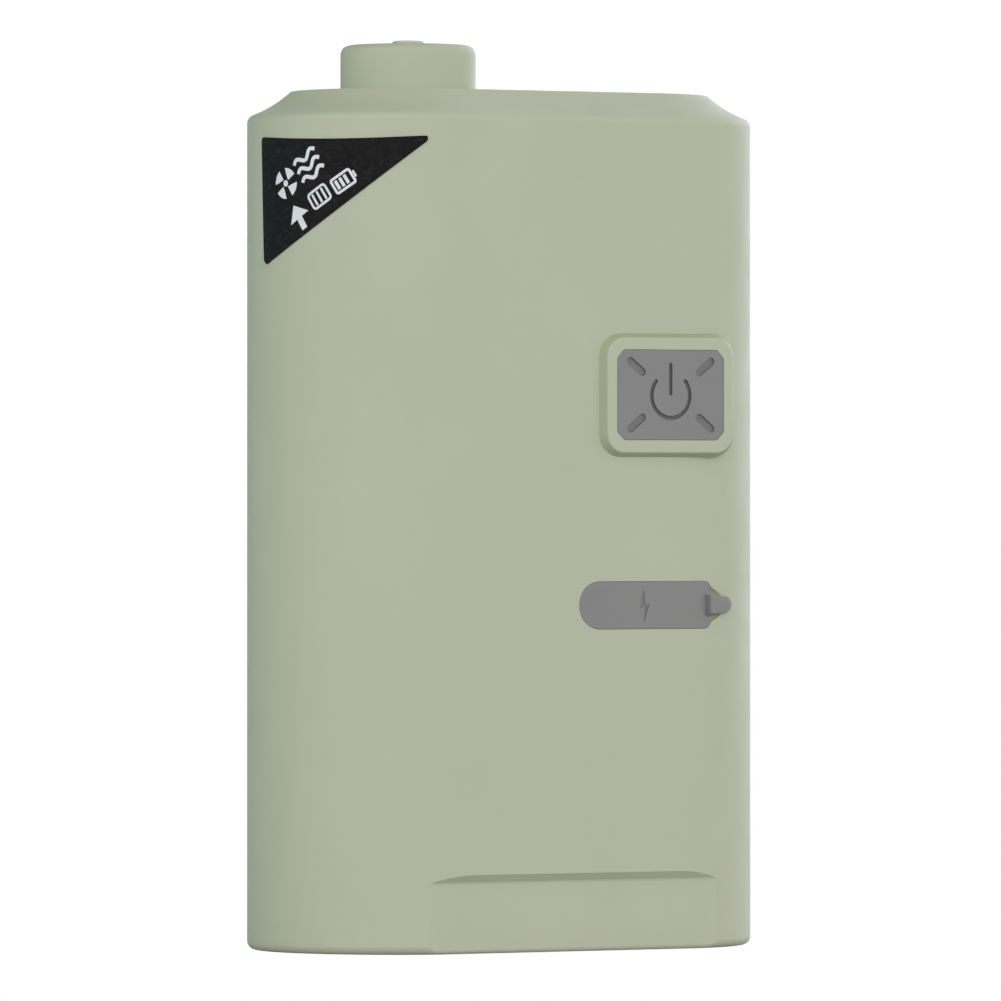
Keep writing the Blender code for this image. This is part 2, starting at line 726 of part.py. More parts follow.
def intake_duct():
    """The lower half of the fan's duct, which flares from the suction airway to round the motor."""
    inner = DUCT_RADIUS - DUCT_WALL
    duct = turned(
        "intake_duct",
        [
            (SOCKET_RADIUS, DUCT_JOINT + 0.0030),
            (SOCKET_RADIUS, DUCT_JOINT - 0.0020),
            (DUCT_RADIUS, DUCT_JOINT - 0.0040),
            (DUCT_RADIUS, 0.0260),
            (0.0165, 0.0155),
            (0.0165, DUCT_FOOT),
            (AIRWAY, DUCT_FOOT),
            (AIRWAY, 0.0155),
            (0.0145, 0.0155),
            (inner, 0.0268),
            (inner, DUCT_JOINT),
            (DUCT_RADIUS + GAP, DUCT_JOINT),
            (DUCT_RADIUS + GAP, DUCT_JOINT + 0.0030),
        ],
        NATURAL_PLASTIC,
        parent=CASING,
        location=(FAN_X, 0, 0),
    )
    cut(duct, cylinder("lead_hole", 0.0032, 0.015, 0.030, sides=14, **AT_LEAD_HOLE))


def outlet_cone():
    """The upper half of the duct, which narrows from the fan to the nozzle."""
    inner = DUCT_RADIUS - DUCT_WALL
    turned(
        "outlet_cone",
        [
            (0.0152, CONE_TOP),
            (0.0152, CONE_TOP - 0.0020),
            (0.0122, CONE_TOP - 0.0040),
            (DUCT_RADIUS, CONE_START),
            (DUCT_RADIUS, DUCT_JOINT + GAP),
            (inner, DUCT_JOINT + GAP),
            (inner, CONE_START),
            (0.0104, CONE_TOP - 0.0040),
            (0.0104, CONE_TOP),
        ],
        NATURAL_PLASTIC,
        parent=CASING,
        location=(FAN_X, 0, 0),
    )


def motor():
    """A can motor hung from its bracket, with the end cap and terminals towards the suction side."""
    at_fan = {"parent": CASING, **AT_FAN}
    can = turned(
        "motor_can",
        [
            (0, MOTOR_HIGH),
            (MOTOR_RADIUS - 0.0010, MOTOR_HIGH),
            (MOTOR_RADIUS, MOTOR_HIGH - 0.0010),
            (MOTOR_RADIUS, MOTOR_LOW),
            (0, MOTOR_LOW),
        ],
        STEEL,
        **at_fan,
    )
    cut(can, cylinder("shaft_room", SHAFT_RADIUS + GAP, 0.030, 0.075, sides=16, **AT_FAN))
    cap = cylinder("motor_end_cap", 0.0125, 0.0306, MOTOR_LOW - GAP, DARK_PLASTIC, sides=24, **at_fan)
    cut(cap, cylinder("cap_room", SHAFT_RADIUS + GAP, 0.0330, 0.036, sides=12, **AT_FAN))
    for name, y in (("motor_terminal_positive", TERMINAL_Y), ("motor_terminal_negative", -TERMINAL_Y)):
        box(name, (-0.0004, y - 0.0012, 0.0262), (0.0004, y + 0.0012, 0.0303), NICKEL, **at_fan)
    for i, y in enumerate(MOTOR_SCREW_Y):
        cut(can, cylinder(f"motor_thread_{i}", 0.0016, 0.0690, 0.074, sides=10, centre=(0, y), **AT_FAN))


def motor_bracket():
    """A ring that holds the motor's front face, on three arms against the duct."""
    low, high = MOTOR_HIGH + GAP, 0.0748
    bracket = cylinder(
        "motor_bracket", 0.0128, low, high, NATURAL_PLASTIC, sides=24, parent=CASING, **AT_FAN
    )
    arm_low, arm_high = (0.010, -0.0016, low + 0.0002), (0.0207, 0.0016, high - 0.0002)
    for i in range(3):
        arm = box(f"bracket_arm_{i}", arm_low, arm_high, **AT_FAN)
        arm.rotation_euler.z = math.radians(120 * i + 60)
        join(bracket, arm)
    cut(bracket, cylinder("bracket_bore", 0.0040, 0.070, 0.078, sides=16, **AT_FAN))
    head = 0.0012
    head_up = {"parent": CASING, "turn": (math.pi, 0, 0)}
    screws = screw_mesh("motor_screw", 0.0025, 0.0012, 0.0050, head)
    for i, y in enumerate(MOTOR_SCREW_Y):
        cut(bracket, cylinder(f"bracket_hole_{i}", 0.0016, 0.070, 0.078, sides=10, centre=(0, y), **AT_FAN))
        place(f"motor_screw_{i + 1}", screws, STEEL, location=(FAN_X, y, high + GAP + head), **head_up)


def blade_section(radius, pitch, chord, thickness):
    """A thin slanted section across a blade at this radius: four points, as (x, y, z) offsets."""
    along = Vector((0, math.cos(pitch), math.sin(pitch))) * chord / 2
    across = Vector((0, -math.sin(pitch), math.cos(pitch))) * thickness / 2
    middle = Vector((radius, 0, 0))
    return [middle + along * a + across * b for a, b in ((-1, -1), (1, -1), (1, 1), (-1, 1))]


def blade(name, root, tip, pitches, chord, thickness, height, angle):
    """A twisted blade from root radius to tip radius. It is a loft between unlike sections."""
    bm = bmesh.new()
    rings = []
    count = len(pitches)
    for i, pitch in enumerate(pitches):
        radius = root + (tip - root) * i / (count - 1)
        verts = [bm.verts.new(p) for p in blade_section(radius, math.radians(pitch), chord, thickness)]
        rings.append([bm.edges.new((verts[k - 1], verts[k])) for k in range(4)])
    for low, high in zip(rings, rings[1:]):
        bmesh.ops.bridge_loops(bm, edges=low + high)
    for end in (rings[0], rings[-1]):
        bmesh.ops.contextual_create(bm, geom=end)
    turn = (0, 0, math.radians(angle))
    return place(name, mesh_of(name, bm), None, location=(FAN_X, 0, height), turn=turn)


def impeller():
    """A nine-bladed axial fan on a tapered hub."""
    hub = turned(
        "impeller",
        [
            (SHAFT_RADIUS + GAP, IMPELLER_HIGH),
            (0.0060, IMPELLER_HIGH),
            (HUB_RADIUS, IMPELLER_HIGH - 0.0035),
            (HUB_RADIUS, IMPELLER_LOW),
            (SHAFT_RADIUS + GAP, IMPELLER_LOW),
        ],
        DARK_PLASTIC,
        steps=24,
        parent=FAN_AXIS,
    )
    middle = (IMPELLER_LOW + IMPELLER_HIGH) / 2 - 0.0008
    pitches = (58, 44, 34)
    for i in range(9):
        join(hub, blade(f"fan_blade_{i}", 0.0080, IMPELLER_TIP, pitches, 0.0088, 0.0011, middle, 40 * i))
    shaft = SHAFT_RADIUS, 0.0335, IMPELLER_HIGH + 0.0010
    cylinder("motor_shaft", *shaft, STEEL, sides=12, parent=FAN_AXIS)


def stator_vanes():
    """The fixed vanes above the fan, which take the swirl out of the air."""
    inner = DUCT_RADIUS - DUCT_WALL - GAP
    bore = inner - 0.0012
    ring = [(inner, STATOR_HIGH), (inner, STATOR_LOW), (bore, STATOR_LOW), (bore, STATOR_HIGH)]
    stator = turned("stator_vanes", ring, NATURAL_PLASTIC, parent=CASING, location=(FAN_X, 0, 0))
    hub = [
        (0, STATOR_HIGH + 0.0040), (0.0050, STATOR_HIGH + 0.0020), (HUB_RADIUS, STATOR_HIGH - 0.0030),
        (HUB_RADIUS, STATOR_LOW), (0, STATOR_LOW),
    ]  # fmt: skip
    join(stator, turned("stator_hub", hub, steps=24, location=(FAN_X, 0, 0)))
    middle, tip = (STATOR_LOW + STATOR_HIGH) / 2, inner - 0.0006
    for i in range(7):
        join(stator, blade(f"vane_{i}", 0.0080, tip, (112, 108), 0.0095, 0.0011, middle, 360 / 7 * i))


def lead_grommet():
    """Rubber bush where the motor's leads pass through the duct."""
    flange, neck, bore = 0.0042, 0.0029, 0.0022
    profile = [
        (flange, 0.0248),
        (flange, 0.0234),
        (neck, 0.0232),
        (neck, 0.0205),
        (bore, 0.0205),
        (bore, 0.0248),
    ]
    turned("lead_grommet", profile, SEAL_RUBBER, steps=14, parent=CASING, **AT_LEAD_HOLE)


gasket("intake_gasket", 0.0118, 0.0162, WELL_FLOOR + WELL_WALL + GAP, DUCT_FOOT - GAP)
gasket("outlet_gasket", 0.0108, 0.0150, CONE_TOP + GAP, FLANGE_LOW - GAP)
intake_duct()
outlet_cone()
motor()
motor_bracket()
impeller()
stator_vanes()
lead_grommet()

# --------------------------------------------------------------------------- battery

CRADLE_RADIUS = 0.0102
CRADLE_LOW = 0.0150
STRIP_THICK = 0.0003
CELL_TOP = CELL_Z + CELL_LENGTH
CELL_MIDDLE_X = sum(CELL_X) / 2
CELL_SPREAD = (CELL_X[1] - CELL_X[0]) / 2


def cells_outline(radius):
    return [(CELL_MIDDLE_X + x, CELL_Y + y) for x, y in obround(CELL_SPREAD, radius, 12)]


def battery():
    """Two round cells in series, held between a lower cradle and an upper cap."""
    grip = 0.0080  # how far each holder reaches along the cells
    outer, room = cells_outline(CRADLE_RADIUS), cells_outline(CELL_RADIUS + GAP)
    floor = CELL_Z - 2 * GAP - STRIP_THICK
    cradle = prism("battery_cradle", outer, CRADLE_LOW, CELL_Z + grip, DARK_PLASTIC, parent=CASING)
    spine_x, spine_y = 0.0018, CELL_Y + CRADLE_RADIUS
    join(
        cradle,
        box("cradle_foot", (0.0120, 0.0040, WALL + GAP), (0.0300, 0.0180, CRADLE_LOW + 0.0005)),
        box(
            "cradle_spine",
            (CELL_MIDDLE_X - spine_x, spine_y - 0.0022, CRADLE_LOW + 0.0005),
            (CELL_MIDDLE_X + spine_x, spine_y - 0.0002, CELL_TOP - grip - GAP),
        ),
    )
    cut(cradle, prism("cradle_room", room, floor, CELL_Z + grip + 0.0020))

    ceiling = CELL_TOP + 2 * GAP + STRIP_THICK
    cap = prism("battery_cap", outer, CELL_TOP - grip, ceiling + 0.0018, DARK_PLASTIC, parent=CASING)
    cut(cap, prism("cap_room_cells", room, CELL_TOP - grip - 0.0020, ceiling))
    for i, x in enumerate(CELL_X):
        slot = 0.0022, CELL_TOP - 0.002, ceiling + 0.004
        cut(cap, cylinder(f"lead_slot_{i}", *slot, sides=10, centre=(x, CELL_Y)))
        cell = {"sides": 24, "centre": (x, CELL_Y), "parent": CASING}
        cylinder(f"battery_cell_{i + 1}", CELL_RADIUS, CELL_Z, CELL_TOP, CELL_WRAP, **cell)

    strips = (
        ("battery_link", *CELL_X, floor + GAP),
        ("battery_tab_positive", CELL_X[0], CELL_X[0], CELL_TOP + GAP),
        ("battery_tab_negative", CELL_X[1], CELL_X[1], CELL_TOP + GAP),
    )
    for name, left, right, low in strips:
        corner = left - 0.0035, CELL_Y - 0.0030, low
        far_corner = right + 0.0035, CELL_Y + 0.0030, low + STRIP_THICK
        box(name, corner, far_corner, NICKEL, parent=CASING)


battery()

# --------------------------------------------------------------------------- control board

BOARD_BACK = BOARD_FRONT + BOARD_THICK


def control_board():
    """The circuit board, screwed to two standoffs, with its parts on both faces."""
    corner = BOARD_X[0], BOARD_FRONT, BOARD_Z[0]
    far_corner = BOARD_X[1], BOARD_BACK, BOARD_Z[1]
    board = box("control_board", corner, far_corner, BOARD_GREEN, parent=CASING)
    screws = screw_mesh("board_screw", 0.0022, 0.0010, 0.0042, 0.0010)
    for i, (x, z) in enumerate(STANDOFFS):
        spot = {"location": (x, BOARD_FRONT, z), "turn": TURN_TO_FRONT}
        cut(board, cylinder(f"board_hole_{i}", 0.0014, -0.004, 0.002, sides=10, **spot))
        head = (x, BOARD_BACK + GAP + 0.0010, z)
        place(f"board_screw_{i + 1}", screws, STEEL, parent=CASING, location=head, turn=TURN_TO_FRONT)

    at_port = {"location": (PORT_X, BOARD_FRONT, COVER_Z), "turn": TURN_TO_FRONT}
    usb = prism("usb_receptacle", obround(0.0029, 0.0016, 5), GAP, 0.0064, STEEL, parent=CASING, **at_port)
    cut(usb, prism("usb_mouth", obround(0.0029, 0.0013, 5), 0.0020, 0.0080, **at_port))
    tongue = (-0.0032, -0.0004, 0.0023), (0.0032, 0.0004, 0.0058)
    box("usb_tongue", *tongue, DARK_PLASTIC, parent=CASING, **at_port)


def board_parts():
    """The larger parts on the board's faces, which stand clear of it by the usual gap."""
    front, back = BOARD_FRONT - GAP, BOARD_BACK + GAP
    for i, (sx, sz) in enumerate(((-1, 1), (1, 1), (-1, -1), (1, -1))):
        x, z = BUTTON_X + sx * 0.0076, BUTTON_Z + sz * 0.0054
        low, high = (x - 0.0008, front - 0.0008, z - 0.0004), (x + 0.0008, front, z + 0.0004)
        box(f"level_led_{i + 1}", low, high, LED_CLEAR, parent=CASING)
    chips = (
        ("controller_chip", (0.0150, front - 0.0012, 0.0860), (0.0210, front, 0.0910)),
        ("charge_chip", (0.0100, front - 0.0010, 0.0720), (0.0140, front, 0.0760)),
        ("power_transistor", (0.0200, back, 0.0560), (0.0270, back + 0.0023, 0.0660)),
    )
    for name, low, high in chips:
        box(name, low, high, DARK_PLASTIC, parent=CASING)
    standing = {"parent": CASING, "turn": TURN_TO_FRONT}
    can = {"sides": 18, "location": (0.0110, back, 0.1140), **standing}
    cylinder("capacitor", 0.0040, -0.0120, 0, CELL_WRAP, **can)
    rim = [(0.0048, -0.0005), (0.0048, -0.0045), (0.0020, -0.0045), (0.0020, -0.0005)]
    turned("inductor", rim, SEAL_RUBBER, steps=18, location=(0.0300, back, 0.1120), **standing)


control_board()
board_parts()

# --------------------------------------------------------------------------- leads

LEAD_RADIUS = 0.0007


def leads():
    """Insulated leads from the motor and the battery to the board's back."""
    board = BOARD_BACK + 0.0012
    terminal_z = 0.0250
    motor_routes = (
        ("motor_lead_positive", 1, RED_WIRE, LEAD_HOLE_Z + 0.0009, 0.0520, 0.0120),
        ("motor_lead_negative", -1, BLACK_WIRE, LEAD_HOLE_Z - 0.0009, 0.0520, 0.0160),
    )
    for name, side, colour, hole_z, end_z, end_x in motor_routes:
        route = [
            (FAN_X, side * TERMINAL_Y, terminal_z),
            (FAN_X + 0.0040, side * 0.0072, terminal_z - 0.0012),
            (FAN_X + 0.0120, side * 0.0030, terminal_z + 0.0016),
            (FAN_X + 0.0190, 0, hole_z),
            (FAN_X + 0.0260, 0, hole_z),
            (end_x - 0.0010, -0.0050 - side * 0.0010, hole_z + 0.0050),
            (end_x, board + 0.0020, end_z - 0.0060),
            (end_x, board, end_z),
        ]
        wire(name, route, LEAD_RADIUS, colour)
    above = CELL_TOP + 2 * GAP + STRIP_THICK
    cell_routes = (
        ("battery_lead_positive", CELL_X[0], RED_WIRE, 0.0180),
        ("battery_lead_negative", CELL_X[1], BLACK_WIRE, 0.0240),
    )
    for name, x, colour, end_x in cell_routes:
        route = [
            (x, CELL_Y, above + LEAD_RADIUS),
            (x, CELL_Y - 0.0003, above + 0.0060),
            (x + (end_x - x) * 0.4, CELL_Y - 0.0120, above + 0.0105),
            (end_x, board + 0.0040, above + 0.0110),
            (end_x, board, above + 0.0080),
        ]
        wire(name, route, LEAD_RADIUS, colour)


leads()
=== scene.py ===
"""The looks of the cordless air mattress pump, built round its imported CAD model.

Metres, +Z up. The casing's front, with the button and the port cover, faces -Y, the origin is below
the centre of its plan, and the nozzle stands towards -X.
"""

import json
import math

import bmesh
import bpy
from mathutils import Matrix, Vector

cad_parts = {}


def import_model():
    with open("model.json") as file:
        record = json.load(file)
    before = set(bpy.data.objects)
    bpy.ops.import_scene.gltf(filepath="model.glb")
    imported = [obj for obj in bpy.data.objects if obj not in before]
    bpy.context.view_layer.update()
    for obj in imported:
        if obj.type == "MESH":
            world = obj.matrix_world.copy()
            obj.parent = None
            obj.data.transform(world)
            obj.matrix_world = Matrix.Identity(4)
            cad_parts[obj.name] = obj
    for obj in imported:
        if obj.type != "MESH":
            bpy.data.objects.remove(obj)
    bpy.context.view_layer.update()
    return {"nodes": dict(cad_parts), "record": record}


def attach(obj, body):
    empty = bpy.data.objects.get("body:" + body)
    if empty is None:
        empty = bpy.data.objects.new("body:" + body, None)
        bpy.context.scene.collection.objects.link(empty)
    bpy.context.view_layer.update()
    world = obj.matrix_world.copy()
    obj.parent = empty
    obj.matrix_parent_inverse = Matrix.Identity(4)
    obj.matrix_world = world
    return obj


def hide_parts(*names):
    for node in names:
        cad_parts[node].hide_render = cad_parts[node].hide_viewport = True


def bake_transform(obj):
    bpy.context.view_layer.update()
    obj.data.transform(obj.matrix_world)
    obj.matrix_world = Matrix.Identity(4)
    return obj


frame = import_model()

MM = 0.001
TINY = 0.0002 * MM  # points closer than this are merged
CREASE_ANGLE = math.radians(32)  # where faces meet at more than this, an edge shows


def mm(*sizes):
    return tuple(size * MM for size in sizes)


# ---------- sizes shared with the CAD

END_RADIUS = 28.5 * MM
END_X = 22.5 * MM
FRONT_Y = -END_RADIUS
BODY_HEIGHT = 161.9 * MM
WALL = 2.6 * MM
BASE_FILLET = 1.6 * MM
SHOULDER_FILLET = 1.7 * MM
SHOULDER_SWEEP = 22 * MM
SHOULDER_LOW, SHOULDER_HIGH = math.radians(21), math.radians(42.2)
RIM_FILLET = 0.8 * MM
# Heights of extra rings just past each cut, which keep long thin faces out of the Booleans.
CASING_BANDS = [z * MM for z in (15.5, 16.5, 59, 60, 70, 71, 90.5, 91.5, 117.5, 118.5)]
RECESS_DEPTH, RECESS_TOP, RECESS_FOOT = mm(1.5, 13.3, 0.9)

FAN_X = -20.3 * MM
NOZZLE_RADIUS, NOZZLE_BORE, NOZZLE_TOP = mm(12.8, 10.3, 170.7)
PIN_RADIUS, PIN_TOP = mm(3.05, 171.57)

BUTTON = Vector((19.5, -28.5, 104.62)) * MM
BUTTON_SIZE = mm(23.65, 17.0)
BUTTON_CORNER, BUTTON_SLACK = mm(1.55, 1.6), 0.04 * MM
BUTTON_ROOM, BUTTON_FLANGE = mm(26.6, 19.9), mm(25.8, 19.1)
PLATEAU_SIZE = mm(28.1, 22.0)
PLATEAU_CORNER = 3.8 * MM
PLATEAU_DROP = 0.07 * MM  # its middle, below the button's
PLATEAU_HEIGHT, PLATEAU_EDGE, PLATEAU_DRAFT = 1.5 * MM, 0.55 * MM, 0.89
PLATEAU_SQUASH = 0.78  # its top and bottom walls' spread, as a share of its sides'

COVER_Z = 65.0 * MM
COVER_LEFT, COVER_RIGHT, COVER_HEIGHT = mm(0.2, 30.0, 9.0)
COVER_CORNER, COVER_THICK, COVER_SLACK = mm(1.7, 1.3, 0.03)
HINGE_X = 7.2 * MM
STEM_X = COVER_LEFT + COVER_HEIGHT / 2  # the middle of the cover's round end
TAB_RIGHT, TAB_HEIGHT, TAB_RAISE = mm(35.4, 3.4, 1.2)
SCOOP_END, SCOOP_HALF, SCOOP_DEPTH = 32.4 * MM, mm(3.85, 1.85), 0.95 * MM
PORT_X, PORT_HALF_LENGTH, PORT_RADIUS = mm(20.6, 2.6, 3.2)
PLUG_HALF_LENGTH, PLUG_RADIUS, PLUG_WALL = mm(2.2, 2.8, 0.9)

LABEL_START, LABEL_END = math.radians(176.1), math.radians(250.8)
LABEL_FACING = math.radians(239)
LABEL_TILT = 33  # degrees that the rows of marks rise towards the right
LABEL_TOP, LABEL_DROP = mm(152.95, 24.0)

WELL_RADIUS, WELL_FLOOR, WELL_WALL = mm(18.0, 9.4, 1.8)
BASE_GAP, BASE_EDGE = mm(0.15, 0.3)
SCREW_PLACES = [(sx * 37.7 * MM, sy * 15.3 * MM) for sx in (-1, 1) for sy in (-1, 1)]

TURN_TO_FRONT = Matrix.Rotation(math.pi / 2, 4, "X")  # local X, Y, Z become X, Z and -Y
AT_BUTTON = Matrix.Translation(BUTTON) @ TURN_TO_FRONT
AT_COVER = Matrix.Translation((0, FRONT_Y, COVER_Z)) @ TURN_TO_FRONT
AT_STEM = AT_COVER @ Matrix.Translation((STEM_X, 0, 0))
AT_FAN = Matrix.Translation((FAN_X, 0, 0))

# ---------- materials


def add_node(tree, kind, inputs=(), **settings):
    """A new node with its own settings, and its inputs set to values or linked from sockets."""
    made = tree.nodes.new(kind)
    for key, value in settings.items():
        setattr(made, key, value)
    for key, value in dict(inputs).items():
        if isinstance(value, bpy.types.NodeSocket):
            tree.links.new(value, made.inputs[key])
        else:
            made.inputs[key].default_value = value
    return made


class Look:
    """A Principled material and short ways to add nodes to it."""

    def __init__(self, name, colour, roughness, metallic=0.0):
        self.mat = bpy.data.materials.new(name)
        self.mat.use_nodes = True
        self.tree = self.mat.node_tree
        self.shader = self.tree.nodes["Principled BSDF"]
        self.set("Base Color", (*colour, 1.0))
        self.set("Roughness", roughness)
        self.set("Metallic", metallic)
        self.where = self.node("ShaderNodeTexCoord").outputs["Object"]

    def set(self, name, value):
        self.shader.inputs[name].default_value = value

    def node(self, kind, inputs=(), **settings):
        return add_node(self.tree, kind, inputs, **settings)

    def noise(self, size, detail=2.0, stretch=(1, 1, 1), rough=0.5):
        """Noise whose lumps are about size metres across."""
        scaled = self.node("ShaderNodeMapping", {"Vector": self.where, "Scale": stretch})
        made = self.node(
            "ShaderNodeTexNoise",
            {"Vector": scaled.outputs[0], "Scale": 1 / size, "Detail": detail, "Roughness": rough},
        )
        return made.outputs["Fac"]

    def ramp(self, value, low, high, to_low, to_high):
        """Maps a value from one range to another, and holds it at the ends."""
        made = self.node(
            "ShaderNodeMapRange",
            {"Value": value, "From Min": low, "From Max": high, "To Min": to_low, "To Max": to_high},
        )
        return made.outputs["Result"]

    def tint(self, value, low, high, most, colour):
        """Mixes a colour over what is there: not at all up to low, and by a share of most from high."""
        share = self.ramp(value, low, high, 0, most)
        base = self.shader.inputs["Base Color"]
        mix = self.node("ShaderNodeMix", data_type="RGBA")
        sockets = {s.identifier: s for s in mix.inputs}
        if base.is_linked:
            self.tree.links.new(base.links[0].from_socket, sockets["A_Color"])
        else:
            sockets["A_Color"].default_value = base.default_value
        sockets["B_Color"].default_value = (*colour, 1.0)
        self.tree.links.new(share, sockets["Factor_Float"])
        self.tree.links.new(next(s for s in mix.outputs if s.identifier == "Result_Color"), base)

    def vary_roughness(self, value, low, high):
        """Lets the roughness follow noise, which is mostly between 0.3 and 0.7."""
        self.tree.links.new(self.ramp(value, 0.3, 0.7, low, high), self.shader.inputs["Roughness"])

    def bump(self, height, distance):
        """Adds relief of this many metres on top of any relief already there."""
        normal = self.shader.inputs["Normal"]
        made = self.node("ShaderNodeBump", {"Height": height, "Distance": distance})
        if normal.is_linked:
            self.tree.links.new(normal.links[0].from_socket, made.inputs["Normal"])
        self.tree.links.new(made.outputs["Normal"], normal)


def shade(colour, factor):
    return tuple(c * factor for c in colour)


def moulded(name, colour, roughness, grain=0.22 * MM, depth=0.006 * MM, cloud=0.03):
    """Moulded plastic or rubber: fine spark-eroded grain, faint flow clouding and uneven sheen."""
    look = Look(name, colour, roughness)
    fine = look.noise(grain, 3.0)
    broad = look.noise(20 * MM, 3.0, stretch=(1, 1, 0.45))
    look.tint(broad, 0.35, 0.7, 1, shade(colour, 1 - cloud))
    look.tint(fine, 0.52, 0.75, 0.5, shade(colour, 1 + cloud))
    look.vary_roughness(look.noise(6 * MM, 4.0), roughness - 0.05, roughness + 0.06)
    look.bump(broad, 0.03 * MM)
    look.bump(fine, depth)
    return look


def metal(name, colour, roughness, grain=(1, 1, 14)):
    """Drawn or plated metal, with fine lines along local Z and dull patches."""
    look = Look(name, colour, roughness, 1.0)
    lines = look.noise(0.8 * MM, 4.0, stretch=grain)
    look.vary_roughness(lines, roughness - 0.06, roughness + 0.10)
    look.tint(look.noise(4 * MM, 4.0), 0.5, 0.75, 0.6, shade(colour, 0.82))
    look.bump(lines, 0.008 * MM)
    return look


SAGE_COLOUR = (0.445, 0.475, 0.358)
# painted shade: a darker, more olive sage for the frame's wall and the finger scoop
CREASE_SHADE_COLOUR = (0.364, 0.398, 0.260)
GREY_COLOUR = (0.215, 0.215, 0.217)


def sage_plastic(name, share=1.0):
    """The casing's plastic with sparse darker flecks. A share below 1 darkens it, which is painted
    shade.
    """
    look = moulded(name, shade(SAGE_COLOUR, share), 0.50)
    look.tint(look.noise(0.9 * MM, 2.0), 0.66, 0.8, 0.16, (0.40, 0.43, 0.33))
    return look.mat


def crease_shade_plastic():
    """The same plastic, darker and more olive, painted on the frame's wall and in the finger scoop as
    the shade there, deepened by bounced light.
    """
    return moulded("sage plastic with painted crease shade", CREASE_SHADE_COLOUR, 0.55).mat


def grey_rubber():
    look = moulded("grey silicone rubber", GREY_COLOUR, 0.62, 0.18 * MM, 0.009 * MM, 0.04)
    look.tint(look.noise(0.5 * MM, 4.0), 0.68, 0.84, 0.35, (0.33, 0.33, 0.33))
    look.set("Sheen Weight", 0.08)
    look.set("Sheen Roughness", 0.6)
    return look.mat


def marked_rubber(
    name, tone, roughness, patch=0.8 * MM, low=0.6, most=0.4, dusty=(0.16, 0.16, 0.155)
):
    """Rubber where it is sunk or shaded, in a darker tone, which is painted shade in the engraving and
    on the tab's near side, with dusty patches of a size and a tone.
    """
    look = moulded(name, tone, roughness, grain=0.15 * MM)
    look.tint(look.noise(patch, 3.0), low, 0.8, most, dusty)
    return look.mat


def film_black():
    """Printed film: near black, with a faint worn weave of lighter streaks and a soft gloss."""
    look = Look("black printed film", (0.0064, 0.0058, 0.0066), 0.45)
    look.set("Specular IOR Level", 0.08)
    streak = look.noise(1.6 * MM, 5.0, stretch=(1.0, 1.0, 2.2), rough=0.65)
    patch = look.noise(5 * MM, 3.0)
    look.tint(streak, 0.50, 0.72, 0.9, (0.024, 0.023, 0.025))
    look.tint(patch, 0.52, 0.72, 0.6, (0.0105, 0.010, 0.012))
    look.vary_roughness(streak, 0.32, 0.48)
    look.bump(look.noise(0.7 * MM, 2.0), 0.006 * MM)
    return look.mat


def print_white():
    """Screen-printed white ink, a little thin in places."""
    look = Look("white print", (0.70, 0.72, 0.75), 0.5)
    wear = look.noise(0.4 * MM, 4.0, rough=0.7)
    look.tint(wear, 0.58, 0.75, 0.7, (0.40, 0.42, 0.45))
    look.vary_roughness(wear, 0.45, 0.6)
    look.bump(wear, 0.004 * MM)
    return look.mat


def circuit_board():
    """Solder mask over faint copper tracks."""
    look = Look("solder mask", (0.02, 0.16, 0.07), 0.35)
    inputs = {"Vector": look.where, "Scale": 260.0, "Mortar Size": 0.03}
    tracks = look.node("ShaderNodeTexBrick", inputs)
    look.tint(tracks.outputs["Fac"], 0.4, 0.6, 0.5, (0.05, 0.27, 0.12))
    look.vary_roughness(look.noise(2 * MM), 0.28, 0.42)
    look.bump(tracks.outputs["Fac"], 0.02 * MM)
    return look.mat


def cell_wrap():
    """Shrink-wrapped film with small wrinkles along the cell."""
    look = Look("cell wrap", (0.03, 0.16, 0.42), 0.35)
    wrinkle = look.noise(3 * MM, 4.0, stretch=(1, 1, 0.2))
    look.tint(wrinkle, 0.5, 0.8, 0.5, (0.05, 0.22, 0.52))
    look.vary_roughness(wrinkle, 0.28, 0.45)
    look.bump(wrinkle, 0.06 * MM)
    return look.mat


def insulation(name, colour):
    return moulded(name, colour, 0.45, 0.4 * MM, 0.01 * MM, 0.10).mat


def clear_led():
    look = moulded("clear epoxy", (0.78, 0.80, 0.78), 0.2, cloud=0.06)
    look.set("Transmission Weight", 0.6)
    return look.mat


SAGE = sage_plastic("sage moulded plastic")
# painted shade: the collars a little darker than the casing
COLLAR_SHADE = sage_plastic("sage plastic with painted shade for the collars", 0.975)
# painted shade on the frame's wall and in the finger scoop
CREASE_SHADE = crease_shade_plastic()
RUBBER = grey_rubber()
# painted shade in the power mark's engraving
ENGRAVING_SHADE = marked_rubber("grey rubber with painted shade in the engraving", (0.125, 0.125, 0.126), 0.75)
BOLT_GREY = marked_rubber(
    "grey rubber in the shallow mark", (0.175, 0.175, 0.176), 0.7, dusty=(0.15, 0.15, 0.148)
)
SLOT_AND_TAB_SHADE = marked_rubber(  # the key's four light windows in a darker grey, and painted shade on the tab's sloping near side
    "grey rubber light window", (0.160, 0.160, 0.162), 0.5, MM, 0.55, 0.5, (0.17, 0.17, 0.174)
)
PIN = moulded("pale grey plastic", (0.50, 0.50, 0.50), 0.42, depth=0.004 * MM).mat
FILM = film_black()
PRINT = print_white()
STEEL = metal("zinc-plated steel", (0.55, 0.55, 0.56), 0.34).mat
CAN = metal("drawn steel can", (0.50, 0.50, 0.51), 0.40).mat
NICKEL = metal("nickel strip", (0.62, 0.60, 0.56), 0.30, grain=(12, 1, 1)).mat
NATURAL = moulded("natural moulded plastic", (0.60, 0.60, 0.56), 0.50, cloud=0.05).mat
DARK = moulded("dark moulded plastic", (0.05, 0.05, 0.055), 0.50, cloud=0.12).mat
SEAL = moulded("black sealing rubber", (0.03,) * 3, 0.78, 0.3 * MM, 0.02 * MM, 0.2).mat

